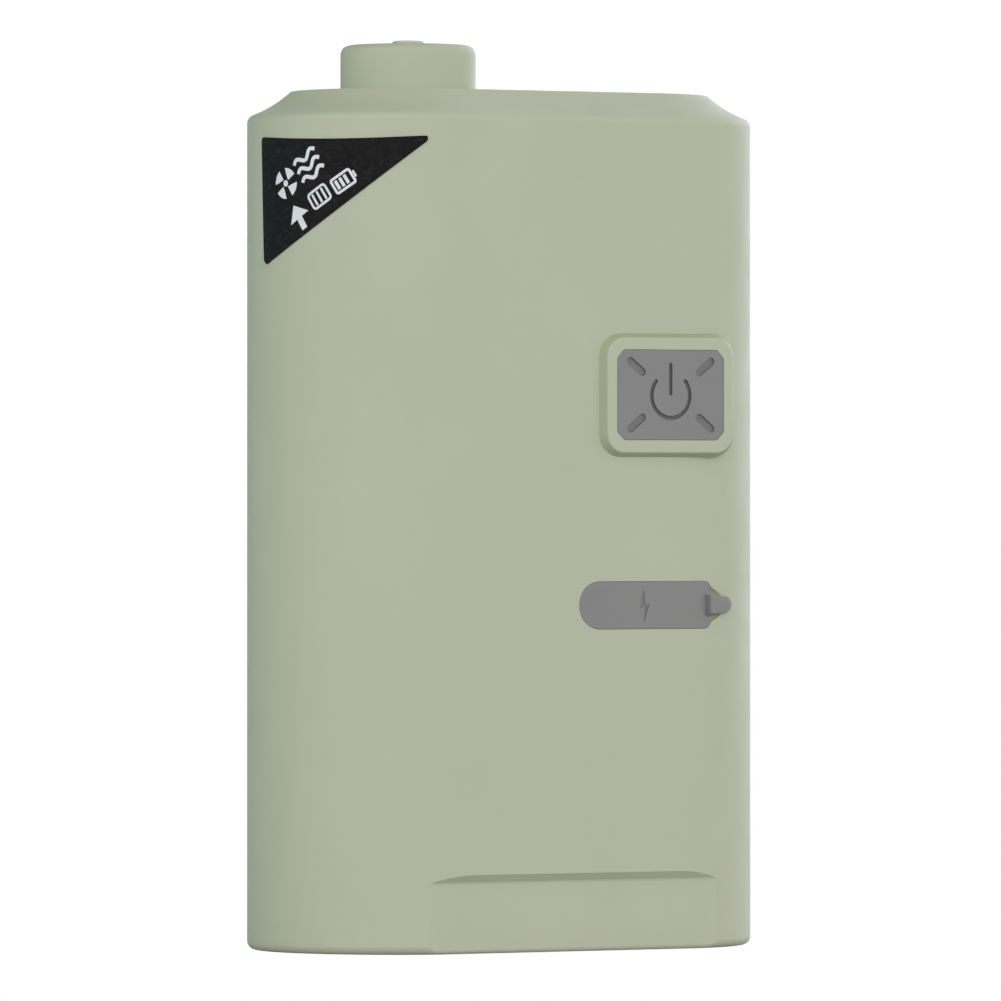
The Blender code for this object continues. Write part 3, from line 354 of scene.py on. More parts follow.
NODE_LOOKS = {
    "sage_plastic": SAGE,
    "grey_rubber": RUBBER,
    "pale_grey_plastic": PIN,
    "black_film": FILM,
    "dark_plastic": DARK,
    "natural_plastic": NATURAL,
    "seal_rubber": SEAL,
    "steel": STEEL,
    "motor_steel": CAN,
    "nickel": NICKEL,
    "board_green": circuit_board(),
    "cell_wrap": cell_wrap(),
    "led_clear": clear_led(),
    "red_wire": insulation("red insulation", (0.50, 0.02, 0.02)),
    "black_wire": insulation("black insulation", (0.02, 0.02, 0.02)),
}


def dress_nodes():
    """Gives every CAD node the finished look of its material slot."""
    for entry in frame["record"]["subparts"]:
        for slot in frame["nodes"][entry["node"]].material_slots:
            slot.material = NODE_LOOKS[entry["material_slot"]]


# ---------- mesh making


def make(name, bm, mat=None, matrix=None):
    """An object from bm, which stays in the row frame with its origin there."""
    if matrix is not None:
        bmesh.ops.transform(bm, matrix=matrix, verts=bm.verts)
    bmesh.ops.recalc_face_normals(bm, faces=bm.faces)
    mesh = bpy.data.meshes.new(name)
    bm.to_mesh(mesh)
    bm.free()
    mesh.shade_smooth()
    obj = bpy.data.objects.new(name, mesh)
    bpy.context.scene.collection.objects.link(obj)
    mats = mat if isinstance(mat, list) else [mat] if mat else []
    for each in mats:
        mesh.materials.append(each)
    return obj


def loft(name, sections, mats, matrix=None, painted_shade_bands=0):
    """A solid through sections of equal point counts, each a list of 3-D points, capped at both ends.
    The first bands between sections, as many as the last argument gives, take the second of two
    materials, which paints shade on them."""
    bm = bmesh.new()
    rings = [[bm.verts.new(p) for p in section] for section in sections]
    count = len(rings[0])
    for band, (low, high) in enumerate(zip(rings, rings[1:])):
        for i in range(count):
            face = bm.faces.new((low[i - 1], low[i], high[i], high[i - 1]))
            face.material_index = 1 if band < painted_shade_bands else 0
    bm.faces.new(rings[0])
    bm.faces.new(rings[-1])
    return make(name, bm, mats, matrix)


def at_height(outline, z):
    return [(x, y, z) for x, y in outline]


def prism(name, outline, low, high, mat, matrix):
    """An outline made thick from low to high."""
    return loft(name, [at_height(outline, low), at_height(outline, high)], mat, matrix)


def turned(name, profile, mat, steps, matrix):
    """A closed (radius, height) profile turned about local Z. Points on the axis stay single."""
    bm = bmesh.new()
    columns = []
    poles = {i: bm.verts.new((0, 0, z)) for i, (r, z) in enumerate(profile) if r < 1e-9}
    for k in range(steps):
        a = 2 * math.pi * k / steps
        ring = []
        for i, (r, z) in enumerate(profile):
            point = (r * math.cos(a), r * math.sin(a), z)
            ring.append(poles[i] if i in poles else bm.verts.new(point))
        columns.append(ring)
    for k in range(steps):
        left, right = columns[k - 1], columns[k]
        for i in range(len(profile)):
            corners = [left[i - 1], right[i - 1], right[i], left[i]]
            unique = list(dict.fromkeys(corners))
            if len(unique) > 2:
                bm.faces.new(unique)
    return make(name, bm, mat, matrix)


def rod(name, radius, low, high, mat, steps, matrix):
    """A plain cylinder about local Z."""
    return turned(name, [(0, high), (radius, high), (radius, low), (0, low)], mat, steps, matrix)


def box(name, low, high, mat, matrix, bevel=0.0):
    """A box between two opposite corners."""
    bm = bmesh.new()
    size = [b - a for a, b in zip(low, high)]
    middle = [(a + b) / 2 for a, b in zip(low, high)]
    placed = Matrix.Translation(middle) @ Matrix.Diagonal((*size, 1))
    bmesh.ops.create_cube(bm, size=1, matrix=placed)
    if bevel:
        bmesh.ops.bevel(bm, geom=bm.edges, offset=bevel, segments=2, affect="EDGES", profile=0.5)
    return make(name, bm, mat, matrix)


def combine(obj, others, operation):
    """Applies Booleans at once, and removes the helpers. Each face keeps its own piece's material."""
    for other in others:
        modifier = obj.modifiers.new(operation, "BOOLEAN")
        modifier.operation = operation
        modifier.solver = "EXACT"
        modifier.object = other
        modifier.material_mode = "TRANSFER"
    graph = bpy.context.evaluated_depsgraph_get()
    mesh = bpy.data.meshes.new_from_object(obj.evaluated_get(graph))
    obj.modifiers.clear()
    obj.data = mesh
    for other in others:
        bpy.data.objects.remove(other, do_unlink=True)
    return obj


def cut(obj, *others):
    return combine(obj, others, "DIFFERENCE")


def join(obj, *others):
    return combine(obj, others, "UNION")


def finish(obj, crease=CREASE_ANGLE):
    """Smooth shading, except where faces meet at more than an angle, weighted so that large flats
    stay flat."""
    bm = bmesh.new()
    bm.from_mesh(obj.data)
    bmesh.ops.remove_doubles(bm, verts=bm.verts, dist=TINY)
    bmesh.ops.dissolve_degenerate(bm, edges=bm.edges, dist=TINY)
    bm.to_mesh(obj.data)
    bm.free()
    obj.data.shade_smooth()
    obj.data.set_sharp_from_angle(angle=crease)
    weighted = obj.modifiers.new("weighted normals", "WEIGHTED_NORMAL")
    weighted.keep_sharp = True
    weighted.weight = 80


# ---------- outlines


def shares(steps):
    """Evenly spaced numbers from 0 to 1, with both ends included."""
    return [i / steps for i in range(steps + 1)]


def arc(centre, radius, start, end, steps):
    """Points on an arc, with angles in degrees and both ends included."""
    turns = [math.radians(start + (end - start) * t) for t in shares(steps)]
    return [(centre[0] + radius * math.cos(a), centre[1] + radius * math.sin(a)) for a in turns]


def obround(half_length, radius, steps=48):
    right = arc((half_length, 0), radius, -90, 90, steps)
    return right + arc((-half_length, 0), radius, 90, 270, steps)


def rounded_rectangle(size, corner, steps=8):
    x, y = size[0] / 2 - corner, size[1] / 2 - corner
    corners = (((x, y), 0), ((-x, y), 90), ((-x, -y), 180), ((x, -y), 270))
    return [p for centre, start in corners for p in arc(centre, corner, start, start + 90, steps)]


def chamfered_rectangle(size, corner):
    """A rectangle with its corners cut off straight, and the cuts' own ends eased."""
    x, y = size[0] / 2, size[1] / 2
    left, up = x - corner[0], y - corner[1]
    sharp = [(x, -up), (x, up), (left, y), (-left, y), (-x, up), (-x, -up), (-left, -y), (left, -y)]
    return eased(sharp, 0.35 * MM, 3)


def curve(a, corner, b, steps):
    """Points on a curve from a to b that is drawn towards a corner, with both ends included."""
    return [tuple(a * (1 - t) ** 2 + corner * 2 * t * (1 - t) + b * t**2) for t in shares(steps)]


def neighbours(points, i):
    """The directions from a closed outline's point i to the points before and after it."""
    here = Vector(points[i])
    before, after = Vector(points[i - 1]), Vector(points[(i + 1) % len(points)])
    return (before - here).normalized(), (after - here).normalized()


def eased(points, reach, steps):
    """A closed outline with its corners replaced by short curves. reach and steps are one number for
    all corners or a list with each corner's own, and a reach of 0 leaves a corner sharp."""
    each = [value if isinstance(value, list) else [value] * len(points) for value in (reach, steps)]
    made = []
    for i, (far, count) in enumerate(zip(*each)):
        here = Vector(points[i])
        before, after = neighbours(points, i)
        if far:
            made += curve(here + before * far, here, here + after * far, count)
        else:
            made.append(points[i])
    return made


def grown(points, by):
    """A counter-clockwise outline moved outwards by a distance."""
    made = []
    for i, p in enumerate(points):
        q, r = Vector(points[i - 1]), Vector(points[(i + 1) % len(points)])
        a, b = (Vector(p) - q), (r - Vector(p))
        if a.length < 1e-9 or b.length < 1e-9:
            a = b = r - q
        n1, n2 = Vector((a.y, -a.x)).normalized(), Vector((b.y, -b.x)).normalized()
        n = (n1 + n2).normalized()
        shorter = max(0.4, n.dot(n1))  # a very sharp corner moves out less than it should
        made.append(tuple(Vector(p) + n * by / shorter))
    return made


def casing_outline(inset, z, steps=48):
    """The casing's outline at height z, with its walls moved inwards."""
    return at_height(obround(END_X, END_RADIUS - inset, steps), z)


def bend(start, radius, turn_from, turn_to, steps):
    """Points after start on an arc whose direction turns from one angle to another."""
    angles = [turn_from + (turn_to - turn_from) * t for t in shares(steps)[1:]]
    x, y = start[0] - radius * math.sin(turn_from), start[1] + radius * math.cos(turn_from)
    return [(x + radius * math.sin(a), y - radius * math.cos(a)) for a in angles]


def shoulder_profile():
    """(inset, height) from the top of the upright wall, over the hollow slope, to the flat top."""
    line = [(0.0, 0.0)]
    line += bend(line[-1], -SHOULDER_FILLET, math.radians(90), SHOULDER_LOW, 9)
    line += bend(line[-1], SHOULDER_SWEEP, SHOULDER_LOW, SHOULDER_HIGH, 10)
    line += bend(line[-1], -RIM_FILLET, SHOULDER_HIGH, 0, 6)
    start = BODY_HEIGHT - line[-1][1]
    return [(inset, start + rise) for inset, rise in line]


def front_height(x):
    """How far the casing's outer surface stands out at x, from the plane of the flat front."""
    past = max(0.0, abs(x) - END_X)
    return math.sqrt(max(0.0, END_RADIUS**2 - past**2)) - END_RADIUS


# ---------- casing


def plateau():
    """The raised flat frame round the button. Its drafted wall runs down to the casing's surface."""
    face = [(x, y - PLATEAU_DROP) for x, y in rounded_rectangle(PLATEAU_SIZE, PLATEAU_CORNER, 10)]
    outward = []
    for i in range(len(face)):
        along = (Vector(face[(i + 1) % len(face)]) - Vector(face[i - 1])).normalized()
        outward.append(Vector((along.y, -along.x)))

    def ring(offset, height):
        up = offset * PLATEAU_SQUASH
        return [(p[0] + n.x * offset, p[1] + n.y * up, height) for p, n in zip(face, outward)]

    edge, wall = PLATEAU_EDGE, math.atan(PLATEAU_DRAFT)
    turns = [(math.pi / 2 - wall) * t for t in shares(6)]
    easing = [(edge * (1 - math.sin(a)), edge * (1 - math.cos(a))) for a in turns]
    crest = [ring(-inward, PLATEAU_HEIGHT - drop) for inward, drop in easing]
    spread, buried = PLATEAU_DRAFT * (PLATEAU_HEIGHT - edge), 4.5 * MM
    foot = [ring(spread, -buried), ring(spread, 0)]
    # the buried foot and the drafted wall take the darker plastic, painted shade
    return loft("plateau", [*foot, *crest[::-1]], [SAGE, CREASE_SHADE], AT_BUTTON, 2)


def pocket_outline():
    """The cover's pocket seen from the front, about its middle height, with a round left end."""
    radius, corner = COVER_HEIGHT / 2 + COVER_SLACK, COVER_CORNER + COVER_SLACK
    right, up = COVER_RIGHT - COVER_CORNER, radius - corner
    corners = arc((right, -up), corner, 270, 360, 6) + arc((right, up), corner, 0, 90, 6)
    return arc((STEM_X, 0), radius, 90, 270, 24) + corners


def port_outline(half_length, radius):
    """An obround in the middle of the charging port, seen from the front."""
    return [(PORT_X + x, y) for x, y in obround(half_length, radius, 20)]


def front_cutters():
    """What the front loses for the key, for the cover, and for the charging port behind it."""
    deep, proud = -9 * MM, MM  # the cuts run past the wall on both sides
    window = chamfered_rectangle([side + 2 * BUTTON_SLACK for side in BUTTON_SIZE], BUTTON_CORNER)
    window_cut = prism("window", window, deep, PLATEAU_HEIGHT + proud, SAGE, AT_BUTTON)
    room = rounded_rectangle(BUTTON_ROOM, MM, 2)
    room_cut = prism("room", room, -12 * MM, -WALL, SAGE, AT_BUTTON)
    pocket = prism("pocket", pocket_outline(), -6 * MM, 3 * MM, SAGE, AT_COVER)
    floor, reach = COVER_THICK + 0.3 * MM, 15 * MM
    core = [casing_outline(floor, COVER_Z + side * reach, 64) for side in (-1, 1)]
    cut(pocket, loft("core", core, SAGE))
    port = port_outline(PORT_HALF_LENGTH, PORT_RADIUS)
    port_cut = prism("port", port, -7 * MM, 0, SAGE, AT_COVER)
    stem_hole = rod("stem", 1.6 * MM, -7 * MM, 0, SAGE, 32, AT_STEM)
    return [window_cut, room_cut, pocket, scoop(), port_cut, stem_hole]


def recess_cutter():
    """The undercut along the foot of the front, with an overhanging top edge and a round foot."""
    wall = FRONT_Y + RECESS_DEPTH
    lip, lean, past, side = mm(0.3, 0.12, 4, 46)
    foot = arc((wall + RECESS_FOOT, RECESS_FOOT), RECESS_FOOT, 270, 180, 6)
    below = [(wall - past, -2 * MM), (wall + RECESS_FOOT, -2 * MM)]
    edge = [(wall, RECESS_TOP - lip), (wall - lean, RECESS_TOP + 0.1 * MM)]
    outline = [*below, *foot, *edge, (wall - past, RECESS_TOP + past)]
    across = Matrix(((0, 0, 1, 0), (1, 0, 0, 0), (0, 1, 0, 0), (0, 0, 0, 1)))  # x, y become Y, Z
    return prism("recess", outline, -side, side, SAGE, across)


def nozzle_cutter():
    """The hole in the flat top that the outlet collar stands in, with a chamfered rim."""
    hole, (rim, low, high) = NOZZLE_RADIUS + 0.14 * MM, mm(0.22, 150, 170)
    above = [(0, high), (hole + rim, high), (hole + rim, BODY_HEIGHT)]
    profile = [*above, (hole, BODY_HEIGHT - rim), (hole, low), (0, low)]
    return turned("nozzle", profile, SAGE, 96, AT_FAN)


def scoop():
    """The finger scoop beside the tab, a smooth dish that tapers with the tab."""
    start, end = COVER_RIGHT - MM, SCOOP_END + 0.4 * MM
    across, clear = 16, 2 * MM
    sections = []
    for share in shares(16):
        x = start + (end - start) * share
        half = SCOOP_HALF[0] + (SCOOP_HALF[1] - SCOOP_HALF[0]) * share
        depth = SCOOP_DEPTH * (1 - 0.95 * share**3)  # almost nothing is left at its far end
        surface = front_height(x)
        points = [(x, half, surface + clear), (x, half, surface)]
        for k in range(1, across):
            a = math.pi * k / across
            points.append((x, half * math.cos(a), surface - depth * math.sin(a)))
        points += [(x, -half, surface), (x, -half, surface + clear)]
        sections.append(points)
    # the dish takes the darker plastic, painted shade
    return loft("scoop", sections, CREASE_SHADE, AT_COVER)


def casing():
    """The one-piece shell: its rounded foot, upright wall, sloping shoulder and raised frame."""
    turns = [math.pi / 2 * t for t in shares(6)]
    fillet = [(BASE_FILLET * (1 - math.sin(a)), BASE_FILLET * (1 - math.cos(a))) for a in turns]
    bands = [(0.0, z) for z in CASING_BANDS]
    profile = fillet + bands + shoulder_profile()
    shell = loft("casing_shell", [casing_outline(inset, z) for inset, z in profile], SAGE)
    top = shoulder_profile()
    hollow = [(WALL, -2 * MM), (WALL, top[0][1] - 0.4 * MM), (top[-1][0] + WALL, BODY_HEIGHT - WALL)]
    cavity = loft("cavity", [casing_outline(inset, z) for inset, z in hollow], SAGE)
    join(shell, plateau())
    cut(shell, cavity)
    cut(shell, *front_cutters(), recess_cutter(), nozzle_cutter())
    finish(shell, crease=math.radians(15))
    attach(shell, "casing")
    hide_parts("main_housing")


# ---------- button


def pill(centre, length, width, angle):
    """A slot with round ends about a centre, turned by an angle in degrees."""
    turn = Matrix.Rotation(math.radians(angle), 2)
    flat = obround((length - width) / 2, width / 2, 8)
    return [tuple(Vector(centre) + turn @ Vector(p)) for p in flat]


def stroke_ring(radius, width, gap):
    """The open ring of the power mark, with round ends. gap is half the opening, in degrees."""
    start, end, steps = 90 + gap, 450 - gap, 40
    outer = arc((0, 0), radius + width / 2, start, end, steps)
    inner = arc((0, 0), radius - width / 2, end, start, steps)
    last, first = (arc((0, 0), radius, a, a, 1)[0] for a in (end, start))
    cap_end = arc(last, width / 2, end, end + 180, 6)[1:-1]
    cap_start = arc(first, width / 2, start + 180, start + 360, 6)[1:-1]
    return outer + cap_end + inner + cap_start


def button():
    """The rubber key: eased edges, a sunk power mark, and four slots over the level lights."""
    height, ease, above = PLATEAU_HEIGHT, 0.12 * MM, PLATEAU_HEIGHT + MM
    outline = chamfered_rectangle(BUTTON_SIZE, BUTTON_CORNER)
    sections = [at_height(outline, -3.2 * MM)]
    for angle in (0, 30, 60, 90):
        a = math.radians(angle)
        ring = grown(outline, -ease * (1 - math.cos(a)))
        sections.append(at_height(ring, height - ease * (1 - math.sin(a))))
    key = loft("button_key", sections, RUBBER, AT_BUTTON)
    flange = rounded_rectangle(BUTTON_FLANGE, MM, 3)
    join(
        key,
        prism("flange", flange, -3.9 * MM, -WALL - 0.3 * MM, RUBBER, AT_BUTTON),
        rod("stem", 1.5 * MM, -5.6 * MM, -3.5 * MM, RUBBER, 32, AT_BUTTON),
    )
    stroke, ring_drop = mm(0.78, 0.12)
    ring = [(x, y - ring_drop) for x, y in stroke_ring(4.22 * MM, stroke, 50)]
    bar = pill((0, 2.98 * MM), 6.2 * MM, stroke, 90)
    floor = height - 0.4 * MM
    # the power mark's sunk faces take darker rubber, painted shade
    marks = [prism("mark", outline, floor, above, ENGRAVING_SHADE, AT_BUTTON) for outline in (ring, bar)]
    (slot_x, slot_y, length, width), lean = mm(7.62, 5.32, 4.85, 1.55), 38
    for sx, sy in ((-1, -1), (-1, 1), (1, -1), (1, 1)):
        outline = pill((sx * slot_x, sy * slot_y), length, width, lean * sx * sy)
        marks.append(prism("slot", outline, height - 0.36 * MM, above, SLOT_AND_TAB_SHADE, AT_BUTTON))
    cut(key, *marks)
    finish(key)
    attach(key, "button")
    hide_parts("power_button")


# ---------- port cover

BOLT = [  # millimetres from BOLT_X and from the cover's middle height
    (-0.12, 2.95), (-1.05, -0.46), (-0.02, -0.50), (-0.06, -3.25), (1.10, 0.28), (0.14, 0.20),
]  # fmt: skip
BOLT_X = 14.6 * MM


def cover_half_height(x):
    """Half the cover's height at x: round at the left end, with eased right corners."""
    radius, corner = COVER_HEIGHT / 2, COVER_CORNER
    if x < STEM_X:
        return math.sqrt(max(0.0, radius**2 - (STEM_X - x) ** 2)) + MM / 1000  # never quite a point
    past = x - (COVER_RIGHT - corner)
    if past > 0:
        return radius - corner + math.sqrt(max(0.0, corner**2 - past**2))
    return radius


def cover_columns():
    """The cover's cross sections along X, close together where its outline is round."""
    round_part, step, turn_from = 4.7 * MM, 0.5 * MM, COVER_RIGHT - COVER_CORNER
    columns = [COVER_LEFT + round_part * (1 - math.cos(math.pi / 2 * t)) for t in shares(12)]
    while columns[-1] < turn_from - step:
        columns.append(columns[-1] + step)
    return columns + [turn_from + COVER_CORNER * math.sin(math.pi / 2 * t) for t in shares(6)]


def cover_edge_drop(x, share):
    """How far the cover's eased edge lies below its top."""
    ease = 0.10 * MM
    reach = min(cover_half_height(x) * (1 - abs(share)), x - COVER_LEFT, COVER_RIGHT - x)
    if reach >= ease:
        return 0.0
    return -ease * (1 - math.sqrt(max(0.0, 1 - (1 - reach / ease) ** 2)))


def cover_plate():
    """The cover's plate, which is curved with the casing."""
    bm = bmesh.new()
    rows = 12
    heights = [-math.cos(math.pi * t) for t in shares(rows)]
    above, below = [], []
    for x in cover_columns():
        points = [(x, cover_half_height(x) * share, front_height(x)) for share in heights]
        drops = [cover_edge_drop(x, share) for share in heights]
        above.append([bm.verts.new((x, y, z + drop)) for (x, y, z), drop in zip(points, drops)])
        below.append([bm.verts.new((x, y, z - COVER_THICK)) for x, y, z in points])
    for grid, step in ((above, 1), (below, -1)):
        for a, b in zip(grid, grid[1:]):
            for k in range(rows):
                bm.faces.new((a[k], b[k], b[k + 1], a[k + 1])[::step])
    for i in range(len(above) - 1):
        for k in (0, -1):
            bm.faces.new((above[i][k], above[i + 1][k], below[i + 1][k], below[i][k]))
    for a, b in ((above[0], below[0]), (above[-1], below[-1])):
        for k in range(rows):
            bm.faces.new((a[k], a[k + 1], b[k + 1], b[k]))
    return make("port_cover_moulding", bm, RUBBER, AT_COVER)


def plug():
    """The hollow plug behind the cover, which fills the charging port."""
    outside = port_outline(PLUG_HALF_LENGTH, PLUG_RADIUS)
    inside = port_outline(PLUG_HALF_LENGTH, PLUG_RADIUS - PLUG_WALL)
    body = prism("plug", outside, -3.3 * MM, -0.8 * MM, RUBBER, AT_COVER)
    return cut(body, prism("plug_hollow", inside, -4 * MM, -1.6 * MM, RUBBER, AT_COVER))


def port_cover():
    """The rubber cover in one piece, with a groove across it where the flap leaves its fixed round end.
    """
    cover = cover_plate()
    barbed = [
        (0, -1.0), (1.3, -1.0), (1.3, -3.4), (2.05, -3.6), (2.1, -4.0), (1.3, -5.1), (0, -5.2),
    ]  # fmt: skip
    stem = turned("anchor", [mm(r, z) for r, z in barbed], RUBBER, 40, AT_STEM)
    join(cover, stem, plug(), tab())
    bolt = eased([(BOLT_X + u * MM, v * MM) for u, v in BOLT], 0.10 * MM, 2)
    mark = prism("bolt", bolt, -0.15 * MM, MM, BOLT_GREY, AT_COVER)
    low, high = (HINGE_X - 0.9 * MM, -5 * MM, -2 * MM), (HINGE_X + 0.9 * MM, 5 * MM, -0.75 * MM)
    cut(cover, mark, box("hinge_groove", low, high, RUBBER, AT_COVER))
    finish(cover)
    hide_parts("port_cover", "cover_anchor")
    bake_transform(cover)


def tab():
    """The pull tab: a low block with a sloping near side and a round nose, clear of the scoop's end."""
    start = COVER_RIGHT - 1.45 * MM
    slope, nose = mm(0.5, 3.1)  # the lengths of the sloping near side and the rounded far end
    flare, droop, edge = mm(0.4, 0.25, 0.28)
    free_from, buried, clear = SCOOP_END - 1.2 * MM, 0.6 * MM, 0.35 * MM
    sections = []
    for share in shares(34):
        x = start + (TAB_RIGHT - start) * min(share, 0.9995)  # the nose stays just blunt
        past = max(0.0, x - (TAB_RIGHT - nose)) / nose
        climb = min(1.0, (x - start) / slope)
        half = (TAB_HEIGHT / 2 + flare * (1 - climb)) * math.sqrt(1 - past**2.3)
        surface = front_height(x)
        low = surface - buried if x < free_from else surface + clear
        high = surface + TAB_RAISE * climb - droop * past**3
        ease = min(edge, half * 0.8, max(0.02 * MM, (high - low) * 0.45))
        turn = [(ease * (1 - math.cos(a)), high - ease * (1 - math.sin(a))) for a in (0.5, 1.05)]
        side = [(half, high - ease), *((half - inward, z) for inward, z in turn), (half - ease, high)]
        profile = [(-half, low), (half, low), *side, *((-y, z) for y, z in side[::-1])]
        sections.append([(x, y, z) for y, z in profile])
    # the first three bands, the sloping near side, take the darker rubber, painted shade
    return loft("tab", sections, [RUBBER, SLOT_AND_TAB_SHADE], AT_COVER, 3)


# ---------- nozzle and valve pin


def round_piece(name, points, soft, mat, steps=96, matrix=AT_FAN):
    """A closed (radius, height) profile in millimetres with eased corners, turned about the fan's
    line or another. A point may give its own easing as a third number, and the axis stays sharp."""
    reach = [(p[2] if len(p) > 2 else soft) * MM * (p[0] != 0) for p in points]
    steps_each = [7 if each > 0.5 * MM else 3 for each in reach]
    profile = eased([mm(*p[:2]) for p in points], reach, steps_each)
    return turned(name, profile, mat, steps, matrix)


def hoop(name, outer, inner, low, high, ease, mat, steps=96):
    """An eased ring about the fan's line, with its sizes in millimetres."""
    section = [(outer, high), (outer, low), (inner, low), (inner, high)]
    return round_piece(name, section, ease, mat, steps)


def spokes(name, count, first, low, high, ease, mat):
    """Bars round the fan's line, the first at an angle in degrees. low and high are the opposite
    corners of the bar at 0 degrees, in millimetres."""
    low, high = mm(*low), mm(*high)
    turns = [math.radians(first + 360 / count * k) for k in range(count)]
    places = [AT_FAN @ Matrix.Rotation(turn, 4, "Z") for turn in turns]
    return [box(name, low, high, mat, place, ease * MM) for place in places]


def nozzle():
    """The outlet collar, which stands out of the flat top on a hidden flange."""
    rim, bore, top = NOZZLE_RADIUS / MM, NOZZLE_BORE / MM, NOZZLE_TOP / MM
    seat, underside, flange = 159.1, 157.0, 16.0
    outside = [(rim, top, 2.1), (rim, seat, 0), (flange, seat), (flange, underside)]
    profile = [*outside, (bore, underside), (bore, top, 0.7)]
    # the collar's darker plastic is painted shade
    collar = round_piece("nozzle", profile, 0.2, COLLAR_SHADE, 128)
    finish(collar)
    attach(collar, "casing")
    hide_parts("nozzle_collar")


def valve_pin():
    """The pin that pushes a valve open, on four arms inside the collar."""
    radius, top, foot = PIN_RADIUS / MM, PIN_TOP / MM, 158.5
    profile = [(0, top), (radius, top, 0.6), (radius, foot, 0.2), (0, foot)]
    post = round_piece("valve_post", profile, 0.2, PIN, 64)
    ring = hoop("pin_ring", 10.05, 8.7, foot, 161.0, 0.25, PIN)
    arms = spokes("arm", 4, 45, (2.4, -0.7, 158.9), (9.3, 0.7, 160.7), 0.2, PIN)
    join(post, ring, *arms)
    finish(post)
    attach(post, "casing")
    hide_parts("valve_pin")


# ---------- base


def base():
    """The base plate with an adapter's well, the airway through it and four screw holes."""
    inset = WALL + BASE_GAP
    levels = [(inset + BASE_EDGE, 0), (inset, BASE_EDGE), (inset, WALL)]
    plate = loft("base", [casing_outline(by, z) for by, z in levels], SAGE)
    inner, floor, wall, lead_in, below = WELL_RADIUS / MM, WELL_FLOOR / MM, WELL_WALL / MM, 0.5, -2
    cup = [(0, floor + wall), (inner + wall, floor + wall), (inner + wall, 1.0), (0, 1.0)]
    join(plate, round_piece("well", cup, 0.2, SAGE))
    mouth = inner + lead_in
    room = [(inner, floor, 0.8), (inner, lead_in, 0), (mouth, 0, 0), (mouth, below, 0), (0, below)]
    airway = rod("airway", 10.6 * MM, MM, 20 * MM, SAGE, 96, AT_FAN)
    cut(plate, round_piece("well_room", [(0, floor), *room], 0.3, SAGE, 128), airway)
    hole = [(0, 4), (1.6, 4), (1.6, 1.6), (2.95, 1.6), (2.95, 0.25), (3.2, 0), (3.2, -1), (0, -1)]
    profile = [mm(r, z) for r, z in hole]
    for x, y in SCREW_PLACES:
        cut(plate, turned("screw_hole", profile, SAGE, 40, Matrix.Translation((x, y, 0))))
    finish(plate)
    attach(plate, "casing")
    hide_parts("base_plate", "suction_cup")


def suction_collar():
    """The intake collar in the well, with a flange behind the well's floor."""
    rim, bore = NOZZLE_RADIUS / MM, NOZZLE_BORE / MM
    flange, top, under, lip = 16.8, 9.1, 7.6, 0.6
    outside = [(flange, top), (flange, under), (rim, under, 0.4), (rim, lip, 0.9)]
    profile = [*outside, (bore, lip, 0.5), (bore, top)]
    # the collar's darker plastic is painted shade
    collar = round_piece("suction_nozzle", profile, 0.2, COLLAR_SHADE, 128)
    finish(collar)
    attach(collar, "casing")
    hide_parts("suction_collar")


def suction_grille():
    """Two hoops and a hub on eight bars, inside the intake collar."""
    grille = hoop("intake_grille", 10.1, 8.7, 5.2, 6.8, 0.25, SAGE)
    inner = hoop("inner", 5.4, 4.2, 5.3, 6.7, 0.2, SAGE, 64)
    hub = round_piece("hub", [(0, 6.75), (1.5, 6.75), (1.5, 5.25), (0, 5.25)], 0.25, SAGE, 40)
    bars = spokes("bar", 8, 0, (0.9, -0.6, 5.4), (9.3, 0.6, 6.6), 0.18, SAGE)
    join(grille, inner, hub, *bars)
    finish(grille)
    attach(grille, "casing")
    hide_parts("suction_grille")


def cross_recess(matrix):
    """A cross-head driver's mark, cut upwards from local z = 0."""
    (below, land, depth), taper = mm(-0.5, 0.05, 0.9), 0.45
    outline = []
    for k in range(4):
        turn = Matrix.Rotation(math.pi / 2 * k, 2)
        for p in ((0.32, -0.32), (1.55, -0.26), (1.55, 0.26)):
            outline.append(tuple(turn @ Vector(p) * MM))
    point = [(x * taper, y * taper, depth) for x, y in outline]
    return loft("cross", [at_height(outline, below), at_height(outline, land), point], STEEL, matrix)


def base_screws():
    """Four pan-head screws, each turned by its own angle."""
    head = [(0, 0), (2.2, 0, 0.35), (2.65, 0.5, 0.2), (2.7, 1.2)]
    shank = [(1.2, 1.2), (1.2, 9.9), (0, 10.2)]
    for i, (x, y) in enumerate(SCREW_PLACES):
        spot = Matrix.Translation((x, y, 0.1 * MM)) @ Matrix.Rotation(0.5 + 1.3 * i, 4, "Z")
        screw = round_piece(f"base_screw_head_{i + 1}", head + shank, 0.1, STEEL, 48, spot)
        cut(screw, cross_recess(spot))
        finish(screw)
        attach(screw, "casing")
        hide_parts(f"base_screw_{i + 1}")


# ---------- label


def wrap(bm, stand):
    """Bends a flat shape, X along the label and Y down from its top, round the casing's left end."""
    radius = END_RADIUS + stand
    for v in bm.verts:
        angle = LABEL_START + v.co.x / END_RADIUS
        out = radius + v.co.z
        v.co = Vector((out * math.cos(angle) - END_X, out * math.sin(angle), LABEL_TOP - v.co.y))


